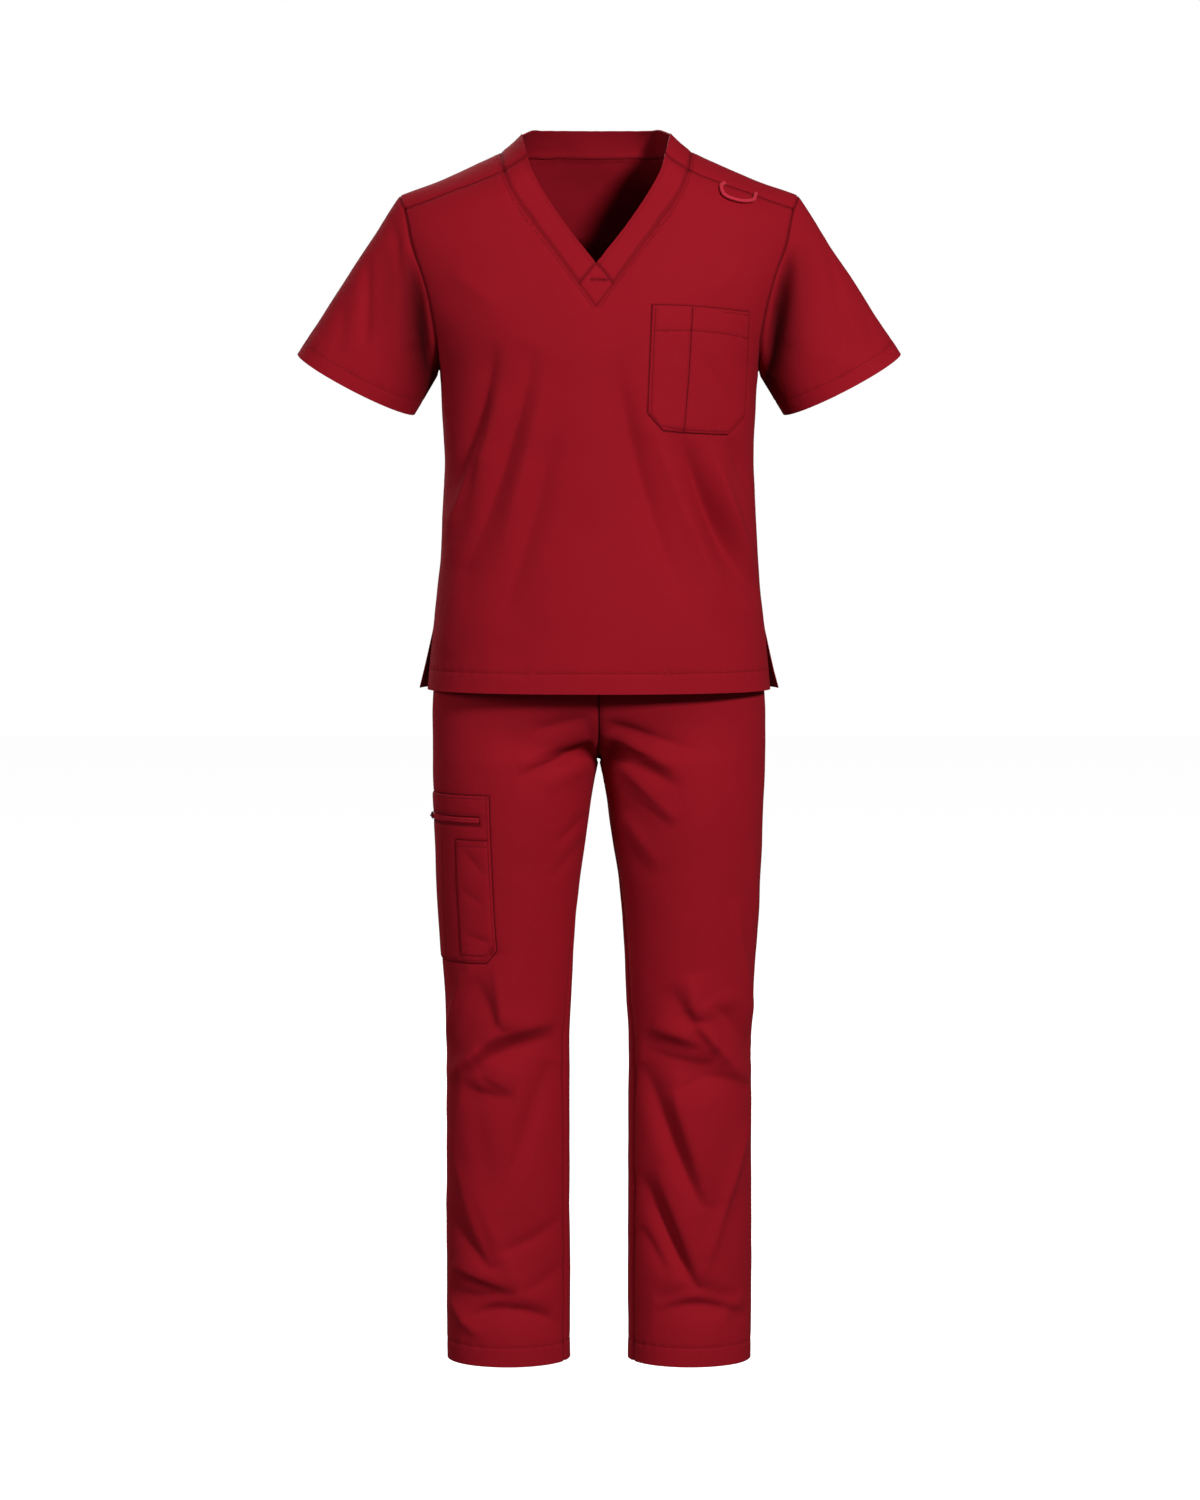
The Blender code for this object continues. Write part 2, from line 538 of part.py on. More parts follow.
class Cloth:
    """Every sheet of a garment as one welded skin, each triangle marked with its piece."""

    def __init__(self):
        self.points = []
        self.triangles = []
        self.piece = []
        self.patches = []

    def add(self, name, points, triangles, patch_of=None):
        base = len(self.points)
        self.points += [tuple(p) for p in points]
        for k, t in enumerate(triangles):
            self.triangles.append([base + int(i) for i in t])
            self.piece.append(name)
            self.patches.append(patch_of[k] if patch_of is not None else ())

    def weld(self):
        tree = kdtree.KDTree(len(self.points))
        for i, p in enumerate(self.points):
            tree.insert(p, i)
        tree.balance()
        owner = list(range(len(self.points)))
        for i, p in enumerate(self.points):
            owner[i] = min(k for _, k, _ in tree.find_range(p, 3e-5))
        keep = sorted(set(owner))
        place = {k: n for n, k in enumerate(keep)}
        self.skin = np.array([self.points[k] for k in keep])
        self.tris = np.array([[place[owner[i]] for i in t] for t in self.triangles])
        self.piece = np.array(self.piece)

    def normals(self):
        skin = self.skin
        total = np.zeros_like(skin)
        for k in range(3):
            a = skin[self.tris[:, k]]
            b = skin[self.tris[:, (k + 1) % 3]]
            c = skin[self.tris[:, (k + 2) % 3]]
            u = b - a
            v = c - a
            face = np.cross(u, v)
            face /= np.maximum(np.linalg.norm(face, axis=1), 1e-15)[:, None]
            cosine = (u * v).sum(1) / (np.linalg.norm(u, axis=1) * np.linalg.norm(v, axis=1))
            angle = np.arccos(np.clip(cosine, -1, 1))
            np.add.at(total, self.tris[:, k], face * angle[:, None])
        self.normal = total / np.maximum(np.linalg.norm(total, axis=1), 1e-12)[:, None]

    def fold(self, tables):
        """Push each point out or in along its own normal by the folds of its region."""
        for rows, chosen in tables:
            lift = fold_height(self.skin[:, 0], self.skin[:, 2], rows) * chosen
            self.skin = self.skin + self.normal * lift[:, None]


def shell(name, skin, normal, tris, low, high):
    """Closed wall over some triangles, from low to high along the normals."""
    used = np.unique(tris)
    place = {int(k): n for n, k in enumerate(used)}
    faces = [[place[int(i)] for i in t] for t in tris]
    points = skin[used].copy()
    out = normal[used]
    count = len(used)
    edges = {}
    for f in faces:
        for k in range(3):
            edges[(f[k], f[(k + 1) % 3])] = True
    border = [(a, b) for (a, b) in edges if (b, a) not in edges]
    after = {a: b for a, b in border}
    before = {b: a for a, b in border}
    shift = np.zeros_like(points)
    for a, b in border:
        prev = before[a]
        normals = []
        for p, q in ((prev, a), (a, b)):
            d = points[q] - points[p]
            side = np.cross(out[a], d)
            normals.append(side / np.linalg.norm(side))
        both = (normals[0] + normals[1]) / max(1 + float(normals[0] @ normals[1]), 0.5)
        shift[a] = both * SEAM_HALF
    points = points + shift
    verts = np.concatenate([points + out * high, points + out * low])
    solid = [list(f) for f in faces] + [[count + i for i in f[::-1]] for f in faces]
    solid += [[b, a, count + a, count + b] for a, b in after.items()]
    quads = []
    for f in solid:
        if len(f) == 3:
            quads.append(f)
        else:
            quads.append([f[0], f[1], f[2]])
            quads.append([f[0], f[2], f[3]])
    return make_object(name, verts, quads)


def make_object(name, verts, faces):
    mesh = bpy.data.meshes.new(name)
    lowered = np.asarray(verts) - [0, 0, ORIGIN_Z]
    mesh.from_pydata([tuple(v) for v in lowered], [], [list(f) for f in faces])
    mesh.validate()
    mesh.update()
    made = bpy.data.objects.new(name, mesh)
    SET.objects.link(made)
    return made


def material(made, colour, rough, metal=0.0):
    surface = bpy.data.materials.new(made.name)
    surface.use_nodes = True
    shader = surface.node_tree.nodes["Principled BSDF"]
    shader.inputs["Base Color"].default_value = (*colour, 1)
    shader.inputs["Roughness"].default_value = rough
    shader.inputs["Metallic"].default_value = metal
    surface.diffuse_color = (*colour, 1)
    made.data.materials.clear()
    made.data.materials.append(surface)


# ---------------------------------------------------------------- the top
def mirror_places(stations):
    return [(-u, v) for u, v in stations]


def front_outline(arm, seam, vent, shoulder, neck):
    """Closed outline of the front panel in flat places, anticlockwise."""
    right_side = neck + shoulder + arm + seam[1:] + vent
    hem = hem_stations(False, vent[-1][0])
    left_neck, left_shoulder = neck_places(-1), shoulder_places(-1)
    left_side = (left_neck[1:] + left_shoulder
                 + mirror_places(arm) + mirror_places(seam[1:]) + mirror_places(vent))
    return right_side + hem + left_side[::-1]


def neck_places(sign):
    """Flat places of the band seam on the front, from the point up to the shoulder seam."""
    outer, _ = neck_lines()
    places = []
    low = np.array([0.0, NECK_POINT_Z])
    high = np.array(outer[0])
    for i in range(BAND_COLUMNS):
        p = low + (high - low) * i / BAND_COLUMNS
        places.append((sign * p[0] + NECK_SHIFT, p[1]))
    places += [(sign * x + NECK_SHIFT, z) for x, z in outer]
    flats = [tuple(body_flat(x, z, False)) for x, z in places]
    return flats + [band_corner(sign, True)]


def band_corner(sign, outer):
    """Where the shoulder seam crosses the band's outer or inner line."""
    reach = BAND_SEAM_REACH if outer else BAND_EDGE_REACH
    x = sign * reach + NECK_SHIFT
    drop = float(smooth(SHOULDER_SEAM, 1, reach))
    return tuple(solve_drop(x, drop, False))


def shoulder_places(sign):
    """Flat places of the shoulder seam between the band and the armhole."""
    out = []
    for reach in SHOULDER_REACHES:
        drop = float(smooth(SHOULDER_SEAM, 1, reach))
        out.append(tuple(solve_drop(sign * reach, drop, False)))
    return out


def back_neck_places(edge):
    """Flat places of the band's line behind the shoulder seams, wearer's left to right."""
    table = BACK_EDGE if edge else BACK_SEAM
    reach_ridge = table[0][0]
    half = []
    corner_x = BAND_EDGE_REACH if edge else BAND_SEAM_REACH
    front_drop = float(smooth(SHOULDER_SEAM, 1, corner_x))
    for share in BEHIND_SHARES:
        x = corner_x + (reach_ridge - corner_x) * math.sin(share * math.pi / 2)
        arc = float(roll_arc(np.array(front_drop), FRONT_ROLL)) * (1 - share)
        half.append((x, -arc))
    for x in BACK_EDGE_STOPS if edge else BACK_SEAM_STOPS:
        z = float(smooth(table, 1, x))
        drop = max(float(smooth(RIDGE, 1, x)) - z, 0.0)
        half.append((x, float(roll_arc(np.array(drop), BACK_ROLL))))
    drop = float(smooth(RIDGE, 1, 0.0)) - float(smooth(table, 1, 0.0))
    middle = (0.0, float(roll_arc(np.array(drop), BACK_ROLL)))
    left = [flat_from_arc(x + NECK_SHIFT, arc) for x, arc in half]
    right = [flat_from_arc(-x + NECK_SHIFT, arc) for x, arc in half]
    return left + [flat_from_arc(NECK_SHIFT, middle[1])] + right[::-1]


def flat_from_arc(x, arc):
    back = arc > 0
    radius = BACK_ROLL if back else FRONT_ROLL
    drop = float(roll_drop(np.array(abs(arc)), radius))
    z = float(ridge(x)) - drop
    half = float(smooth(TORSO, 2 if back else 1, z))
    share = min(abs(x) / half, 1.0) ** (SQUARENESS / 2)
    return math.copysign(math.asin(share) / (math.pi / 2) * FLAT_HALF, x), arc


def grid_faces(rows, columns, flip=False):
    """Two triangles for every cell of a grid of rows by columns of points."""
    out = []
    for i in range(rows - 1):
        for j in range(columns - 1):
            a = i * columns + j
            b = a + 1
            c = a + columns + 1
            d = a + columns
            pair = [[a, b, c], [a, c, d]] if (i + j) % 2 == 0 else [[a, b, d], [b, c, d]]
            out += [t[::-1] if flip else t for t in pair]
    return out


def build_top(cloth):
    front_arm, back_arm = armhole_stations()
    front_seam, front_vent = side_stations(False)
    back_seam, back_vent = side_stations(True)
    front_lower = front_arm[SHOULDER_AT:]
    over = front_arm[:SHOULDER_AT]
    seen = closed_line(CHEST_POCKET, PANEL_STEP * 0.8)
    pocket_line = [tuple(body_flat(x, z, False)) for x, z in seen[:-1]]
    pocket_line.append(pocket_line[0])

    outline = front_outline(front_lower, front_seam, front_vent, shoulder_places(1),
                            neck_places(1))
    flat, tris = triangulate(outline, [pocket_line], PANEL_STEP)
    centres = flat[tris].mean(1)
    in_pocket = inside_polygon(centres, pocket_line[:-1])
    marks = [("chest_pocket",) if hit else () for hit in in_pocket]
    # seen from outside, flat places run left to right and upwards: arcs ahead of the ridge
    cloth.add("top_front", body_point(flat[:, 0], flat[:, 1]), tris, marks)

    # back panel, from the forward shoulder seam over the ridge to the hem
    shoulder = shoulder_places(1)
    left = [band_corner(1, True)] + shoulder + front_lower[:1]
    right = [band_corner(-1, True)] + shoulder_places(-1) + mirror_places(front_lower[:1])
    neck = back_neck_places(False)
    left_rest = over[::-1] + back_arm[1:] + back_seam[1:] + back_vent
    right_rest = mirror_places(left_rest)
    hem = hem_stations(True, back_vent[-1][0])
    outline = left + left_rest + hem + right_rest[::-1] + right[::-1] + neck[::-1]
    flat, tris = triangulate(outline, [], PANEL_STEP)
    cloth.add("top_back", body_point(flat[:, 0], flat[:, 1]), tris)

    # neckband, front lengths
    for sign, name in ((1, "neckband_left"), (-1, "neckband_right")):
        outer, inner = neck_lines()
        outer = [(sign * x + NECK_SHIFT, z) for x, z in outer]
        inner = [(sign * x + NECK_SHIFT, z) for x, z in inner]
        outer = [tuple(body_flat(x, z, False)) for x, z in outer] + [band_corner(sign, True)]
        inner = [tuple(body_flat(x, z, False)) for x, z in inner] + [band_corner(sign, False)]
        places = []
        for a, b in zip(outer, inner):
            for j in range(BAND_COLUMNS + 1):
                t = j / BAND_COLUMNS
                places.append((a[0] + (b[0] - a[0]) * t, a[1] + (b[1] - a[1]) * t))
        places = np.array(places)
        faces = grid_faces(len(outer), BAND_COLUMNS + 1, flip=sign > 0)
        cloth.add(name, body_point(places[:, 0], places[:, 1]), faces)

    # crossed ends below the V
    outer, inner = neck_lines()
    corner = np.array(outer[0])
    apex = np.array(inner[0])
    low = np.array([0.0, NECK_POINT_Z])
    ends = {}
    for sign in (1, -1):
        side = np.array([sign, 1.0])
        ends[sign] = ([tuple(body_flat(*(p + [NECK_SHIFT, 0]), False))
                       for p in (corner * side, apex)],
                      [(low + (corner * side - low) * i / BAND_COLUMNS)
                       for i in range(BAND_COLUMNS + 1)])
    places = np.zeros((BAND_COLUMNS + 1, BAND_COLUMNS + 1, 2))
    size = BAND_COLUMNS
    for i in range(size + 1):
        s = i / size
        for j in range(size + 1):
            t = j / size
            top_edge = np.array(ends[1][0][1]) * (1 - t) + np.array(ends[1][0][0]) * t
            left_edge = np.array(ends[1][0][1]) * (1 - s) + np.array(ends[-1][0][0]) * s
            low_line = [np.array(body_flat(p[0] + NECK_SHIFT, p[1], False))
                        for p in ends[-1][1]][::-1]
            right_line = [np.array(body_flat(p[0] + NECK_SHIFT, p[1], False))
                          for p in ends[1][1]][::-1]
            bottom_edge = low_line[j]
            right_edge = right_line[i]
            apex_f = np.array(ends[1][0][1])
            left_f = np.array(ends[-1][0][0])
            right_f = np.array(ends[1][0][0])
            low_f = low_line[-1]
            ruled = (1 - s) * top_edge + s * bottom_edge + (1 - t) * left_edge + t * right_edge
            corners = ((1 - s) * (1 - t) * apex_f + s * (1 - t) * left_f
                       + (1 - s) * t * right_f + s * t * low_f)
            places[i, j] = ruled - corners
    places = places.reshape(-1, 2)
    faces = grid_faces(size + 1, size + 1, flip=True)
    cloth.add("neck_point", body_point(places[:, 0], places[:, 1]), faces)

    # neckband, back length
    outer = [band_corner(1, True)] + back_neck_places(False) + [band_corner(-1, True)]
    inner = [band_corner(1, False)] + back_neck_places(True) + [band_corner(-1, False)]
    places = []
    for a, b in zip(outer, inner):
        for j in range(BAND_COLUMNS + 1):
            t = j / BAND_COLUMNS
            places.append((a[0] + (b[0] - a[0]) * t, a[1] + (b[1] - a[1]) * t))
    places = np.array(places)
    faces = grid_faces(len(outer), BAND_COLUMNS + 1, flip=True)
    cloth.add("neckband_back", body_point(places[:, 0], places[:, 1]), faces)

    # sleeves
    ring = front_arm + back_arm[1:-1][::-1]
    ring = np.array(ring)
    for sign, name in ((1, "sleeve_left"), (-1, "sleeve_right")):
        arm = body_point(ring[:, 0] * sign, ring[:, 1])
        cuff = cuff_ring(arm, len(front_arm), sign)
        rows = []
        for i in range(SLEEVE_ROWS + 1):
            t = i / SLEEVE_ROWS
            rows.append(arm * (1 - t) + cuff * t)
        count = len(arm)
        points = np.concatenate(rows)
        faces = []
        for i in range(SLEEVE_ROWS):
            for j in range(count):
                a = i * count + j
                b = i * count + (j + 1) % count
                c = b + count
                d = a + count
                pair = [[a, b, c], [a, c, d]] if (i + j) % 2 == 0 else [[a, b, d], [b, c, d]]
                faces += [t if sign > 0 else t[::-1] for t in pair]
        cloth.add(name, points, faces)


def cuff_ring(arm, front_count, sign):
    """Places round the cuff that answer the places round the armhole."""
    closed = np.concatenate([arm, arm[:1]])
    steps = np.linalg.norm(np.diff(closed, axis=0), axis=1)
    far = np.concatenate([[0], np.cumsum(steps)])
    half = far[front_count - 1]
    whole = far[-1]
    angle = []
    for k in range(len(arm)):
        if k < front_count:
            angle.append(math.pi * far[k] / half)
        else:
            angle.append(math.pi * (1 + (far[k] - half) / (whole - half)))
    angle = np.array(angle)
    tilt = math.radians(CUFF_TILT_DEG)
    outward = np.array([sign * math.cos(tilt), 0, math.sin(tilt)])
    axis = np.array([sign * math.sin(tilt), 0, -math.cos(tilt)])
    ahead = np.array([0, -1.0, 0])
    centre = np.array([sign * CUFF_CENTRE_X, 0, CUFF_CENTRE_Z])
    return (centre + CUFF_HALF * np.cos(angle)[:, None] * outward
            + CUFF_DEPTH * np.sin(angle)[:, None] * ahead
            + CUFF_FRONT_DROP * np.sin(angle)[:, None] * axis)


# ---------------------------------------------------------------- the trousers
def leg_point(round_share, level):
    """Right-hand-side leg: 0 to 1 runs from the inner line to the outseam in front,
    1 to 2 back to the inner line behind. Level 0 is the crotch, positive goes up."""
    u = np.asarray(round_share, float)
    v = np.asarray(level, float)
    quarter = CROTCH_RISE * math.pi / 2
    bend = np.clip(v, 0, quarter) / CROTCH_RISE
    curved = CROTCH_RISE * (1 - np.cos(bend))
    straight = CROTCH_RISE * bend / (math.pi / 2)
    side = np.sin(np.clip(np.minimum(u, 2 - u), 0, 1) * math.pi / 2)
    rise = curved + (straight - curved) * side + np.maximum(v - quarter, 0)
    z = CROTCH_Z + np.where(v < 0, v, rise)
    weight = np.where(v > 0, np.sin(bend), 0.0)
    outer = smooth(LEG, 1, z)
    inner = smooth(LEG, 2, z)
    middle = (outer + inner) / 2
    half = (outer - inner) / 2
    turned = math.radians(INSEAM_TURN_DEG) * np.clip((CROTCH_Z - z) / (CROTCH_Z - INSEAM_TURN_Z),
                                                     0, 1)
    angle = np.where(u < 1, turned + u * (math.pi - turned),
                     math.pi + (u - 1) * (math.pi + turned))
    ahead = np.sin(angle)
    depth = np.where(ahead > 0, smooth(LEG, 3, z), smooth(LEG, 4, z))
    leg_x = middle - half * np.cos(angle)
    leg_y = -depth * ahead
    hip_angle = u * math.pi / 2
    power = 2 / 2.15
    hip_x = smooth(HIPS, 1, z) * np.abs(np.sin(hip_angle)) ** power
    hip_depth = np.where(u < 1, smooth(HIPS, 2, z), smooth(HIPS, 3, z))
    hip_y = -np.sign(np.cos(hip_angle)) * np.abs(np.cos(hip_angle)) ** power * hip_depth
    x = leg_x + (hip_x - leg_x) * weight
    y = leg_y + (hip_y - leg_y) * weight
    on_middle = (v > 0) & ((u < NUDGE) | (u > 2 - NUDGE))
    x = np.where(on_middle, 0.0, x)
    return np.stack([x, y, z], -1)


TOP_LEVEL = CROTCH_RISE * math.pi / 2 + (WAIST_SEAM_Z - CROTCH_Z - CROTCH_RISE)
HEM_LEVEL = LEG_HEM_Z - CROTCH_Z
LEVELS = np.linspace(HEM_LEVEL, TOP_LEVEL, 90)


def half_round(level):
    """Length round the leg from the inner line to the outseam at each level, front, back."""
    level = np.asarray(level, float)
    share = np.linspace(0, 1, 33)
    out = []
    for start in (0.0, 1.0):
        u, v = np.meshgrid(share + start, LEVELS)
        ring = leg_point(np.clip(u, 0, 2), v)
        length = np.linalg.norm(np.diff(ring, axis=1), axis=2).sum(1)
        out.append(np.interp(level, LEVELS, length))
    return out


def leg_from_flat(flat, level):
    """Surface at a distance round from the outseam (negative ahead of it) and a level."""
    front, back = half_round(level)
    reach = np.where(flat < 0, front, back)
    share = np.clip(1 + flat / reach, 0, 2)
    return leg_point(share, level)


def rectangle(front, back, top, bottom, cut=0.0, back_cut=0.0, lean=0.0, back_lean=0.0):
    """Flat corners of a patch with cut lower corners, from heights; its sides may lean."""
    top = top - CROTCH_Z
    bottom = bottom - CROTCH_Z
    low_front = lean - front
    low_back = back + back_lean
    corners = [(-front, top), (low_front, bottom + cut)]
    if cut:
        corners.append((low_front + cut, bottom))
    if back_cut:
        corners.append((low_back - back_cut, bottom))
    return corners + [(low_back, bottom + back_cut), (back, top)]


def closed_line(corners, step):
    line = []
    for k in range(len(corners)):
        line += [tuple(p) for p in line_between(corners[k], corners[(k + 1) % len(corners)],
                                                step)[:-1]]
    return line + [line[0]]


CARGO = rectangle(POCKET_FRONT, POCKET_BACK, POCKET_TOP, POCKET_BOTTOM, POCKET_CHAMFER,
                  POCKET_CHAMFER, POCKET_LEAN)
ZIP = rectangle(ZIP_FRONT, ZIP_BACK, ZIP_Z + ZIP_HALF, ZIP_Z - ZIP_HALF)
PEN = rectangle(PEN_FRONT, -PEN_BACK, PEN_TOP, PEN_BOTTOM, PEN_CHAMFER, 0.0, PEN_LEAN, PEN_LEAN)


def build_leg(cloth, sign):
    """One leg's front and back panels; the wearer's right carries the cargo pocket."""
    side = "left" if sign > 0 else "right"
    below = list(np.linspace(HEM_LEVEL, 0, LEG_STOPS))
    above = list(np.linspace(0, TOP_LEVEL, RISE_STOPS))[1:]
    levels = np.array(below + above)
    front_len, back_len = half_round(levels)
    patches = []
    if sign < 0:
        patches = [("cargo", CARGO), ("zip", ZIP), ("pen", PEN)]
    outseam = [(0.0, float(v)) for v in levels]
    for name, length, direction in (("front", front_len, -1), ("back", back_len, 1)):
        inner = [(direction * float(r), float(v)) for r, v in zip(length, levels)]
        top = [(inner[-1][0] * (1 - k / WAIST_STOPS), inner[-1][1])
               for k in range(1, WAIST_STOPS)]
        hem = [(inner[0][0] * k / WAIST_STOPS, inner[0][1]) for k in range(1, WAIST_STOPS)]
        lines = []
        for _, corners in patches:
            lines += clip_line(closed_line(corners, PANEL_STEP), direction)
        seam = outseam[:]
        if patches:
            seam = add_stops(outseam, patches)
        outline = inner + top + seam[::-1] + hem
        if direction > 0:
            outline = outline[::-1]
        outline = outline[::-1]
        flat, tris = triangulate(outline, lines, PANEL_STEP)
        centres = flat[tris].mean(1)
        marks = []
        masks = {key: inside_polygon(centres, corners) for key, corners in patches}
        for k in range(len(tris)):
            mark = []
            if patches and masks["cargo"][k] and not masks["zip"][k]:
                mark.append("cargo_pocket")
            if patches and masks["zip"][k]:
                mark.append("zip_tape")
            if patches and masks["pen"][k]:
                mark.append("cargo_pen_pocket")
            marks.append(tuple(mark))
        points = leg_from_flat(flat[:, 0], flat[:, 1])
        if sign < 0:
            points = points * [-1, 1, 1]
            tris = tris[:, ::-1]
        cloth.add(f"trouser_{name}_{side}", points + 0.0, tris, marks)


def add_stops(outseam, patches):
    """Outseam stations with the patches' crossings put in, close ones dropped."""
    stops = []
    for _, corners in patches:
        line = closed_line(corners, PANEL_STEP)
        for a, b in zip(line[:-1], line[1:]):
            if (a[0] < 0) != (b[0] < 0):
                t = a[0] / (a[0] - b[0])
                stops.append(round(a[1] + (b[1] - a[1]) * t, 9))
    keep = [p for p in outseam if all(abs(p[1] - s) > 0.35 * PANEL_STEP for s in stops)]
    ends = [outseam[0], outseam[-1]]
    for p in ends:
        if p not in keep:
            keep.append(p)
    return sorted(set(keep + [(0.0, s) for s in stops]), key=lambda p: p[1])


def clip_line(line, direction):
    """Parts of a line on one side of the outseam, cut where it crosses."""
    parts = []
    current = []
    for a, b in zip(line[:-1], line[1:]):
        a_in = a[0] * direction > 1e-9
        b_in = b[0] * direction > 1e-9
        if a_in and not current:
            current = [a]
        if a_in and b_in:
            current.append(b)
        elif a_in != b_in:
            t = a[0] / (a[0] - b[0])
            cross = (0.0, round(a[1] + (b[1] - a[1]) * t, 9))
            if a_in:
                current.append(cross)
                parts.append(current)
                current = []
            else:
                current = [cross, b]
    if len(current) > 1:
        parts.append(current)
    return parts


def build_waistband(cloth):
    """Closed band above the four panels, on the stations of their top edges."""
    rows = []
    half = np.arange(2 * WAIST_STOPS + 1) / WAIST_STOPS
    for i in range(WAIST_ROWS + 1):
        z = WAIST_SEAM_Z + (WAIST_TOP_Z - WAIST_SEAM_Z) * i / WAIST_ROWS
        level = TOP_LEVEL + z - WAIST_SEAM_Z
        flat_level = np.full(len(half), level)
        if i == 0:
            front, back = half_round(np.array([TOP_LEVEL]))
            flat = np.where(half < 1, (half - 1) * front[0], (half - 1) * back[0])
            left = leg_from_flat(flat, np.full(len(half), TOP_LEVEL))
        else:
            left = leg_point(half, flat_level)
        right = left[1:-1][::-1] * [-1, 1, 1]
        rows.append(np.concatenate([left, right]))
    count = len(rows[0])
    points = np.concatenate(rows)
    faces = []
    for i in range(WAIST_ROWS):
        for j in range(count):
            a = i * count + j
            b = i * count + (j + 1) % count
            faces += [[a, b, b + count], [a, b + count, a + count]]
    cloth.add("waistband", points + 0.0, faces)


# ---------------------------------------------------------------- small pieces
def cord_solid(name, line, radius, sides):
    """Closed round cord along a line of points."""
    line = np.array(line)
    verts = []
    faces = []
    count = len(line)
    up = np.array([0, -1.0, 0.0])
    for i in range(count):
        ahead = line[min(i + 1, count - 1)] - line[max(i - 1, 0)]
        ahead /= np.linalg.norm(ahead)
        side = np.cross(ahead, up)
        side /= np.linalg.norm(side)
        lift = np.cross(side, ahead)
        for k in range(sides):
            a = 2 * math.pi * k / sides
            verts.append(line[i] + radius * (math.cos(a) * side + math.sin(a) * lift))
    for i in range(count - 1):
        for k in range(sides):
            a = i * sides + k
            b = i * sides + (k + 1) % sides
            faces.append([a + sides, b + sides, b, a])
    faces.append(list(range(sides)))
    faces.append([(count - 1) * sides + k for k in range(sides)][::-1])
    return make_object(name, verts, faces)


def curve_points(corners, count):
    """Even points on a rounded line through the corners."""
    rows = np.array(corners, float)
    far = np.concatenate([[0], np.cumsum(np.linalg.norm(np.diff(rows, axis=0), axis=1))])
    at = np.linspace(0, far[-1], count)
    table = np.column_stack([far, rows])
    return np.stack([smooth(table, k + 1, at) for k in range(rows.shape[1])], -1)


def box(name, size, centre, frame, bevel):
    """Bevelled block laid in a frame of three unit axes and an origin."""
    bpy.ops.mesh.primitive_cube_add(size=1)
    made = bpy.context.active_object
    made.name = name
    made.data.name = name
    for collection in list(made.users_collection):
        collection.objects.unlink(made)
    SET.objects.link(made)
    made.data.transform(Matrix.Diagonal((*size, 1)))
    made.data.transform(Matrix.Translation(centre))
    if bevel:
        modifier = made.modifiers.new("edges", "BEVEL")
        modifier.width = bevel
        modifier.segments = 2
        modifier.limit_method = "ANGLE"
    made.matrix_world = frame
    return made


def keep_apart(made):
    """A cutter: in its own collection, drawn as wire, out of the render."""
    for collection in list(made.users_collection):
        collection.objects.unlink(made)
    HELPERS.objects.link(made)
    made.hide_render = True
    made.display_type = "WIRE"


def combine(target, tool, operation):
    modifier = target.modifiers.new(tool.name, "BOOLEAN")
    modifier.operation = operation
    modifier.solver = "EXACT"
    modifier.object = tool
    keep_apart(tool)


def build_zip_metal(skin_at):
    """Slider and pull on the zip's chain. skin_at gives the place and outward direction."""
    place, out, along = skin_at
    out = Vector(out).normalized()
    along = Vector(along)
    along = (along - out * along.dot(out)).normalized()
    up = out.cross(along).normalized()
    base = PATCH_LIFT + PATCH_CLOTH + SLIDER_CLEAR
    frame = Matrix((
        (along.x, up.x, out.x, place[0]), (along.y, up.y, out.y, place[1]),
        (along.z, up.z, out.z, place[2] - ORIGIN_Z), (0, 0, 0, 1)))
    slider = box("zip_slider", (SLIDER_LONG, SLIDER_WIDE, SLIDER_THICK),
                 (0, 0, base + SLIDER_THICK / 2), frame, 0.4 * MM)
    top = base + SLIDER_THICK
    bridge = box("bridge_block", (BRIDGE_LONG, BRIDGE_WIDE, BRIDGE_TALL + 0.4 * MM),
                 (0, 0, top + BRIDGE_TALL / 2 - 0.2 * MM), frame, 0.25 * MM)
    hole = box("bridge_hole", (BRIDGE_LONG - 2 * BRIDGE_WALL, BRIDGE_WIDE * 3,
                               BRIDGE_TALL - BRIDGE_WALL),
               (0, 0, top + (BRIDGE_TALL - BRIDGE_WALL) / 2), frame, 0)
    combine(bridge, hole, "DIFFERENCE")
    combine(slider, bridge, "UNION")
    bar_up = top + (BRIDGE_TALL - BRIDGE_WALL) / 2
    start = -PULL_BAR / 2
    pull = box("zip_pull", (PULL_LONG, PULL_WIDE, PULL_BAR),
               (start + PULL_LONG / 2, 0, bar_up), frame, 0.3 * MM)
    window = box("pull_window", (PULL_WINDOW, PULL_WINDOW_WIDE, PULL_BAR * 4),
                 (start + PULL_BAR + PULL_WINDOW / 2, 0, bar_up), frame, 0)
    combine(pull, window, "DIFFERENCE")
    return slider, pull, frame @ Vector((0, 0, bar_up)), up


for old in list(bpy.data.objects):
    bpy.data.objects.remove(old, do_unlink=True)
SET = bpy.data.collections.new("medical_scrubs")
bpy.context.scene.collection.children.link(SET)
HELPERS = bpy.data.collections.new("cutters")
bpy.context.scene.collection.children.link(HELPERS)

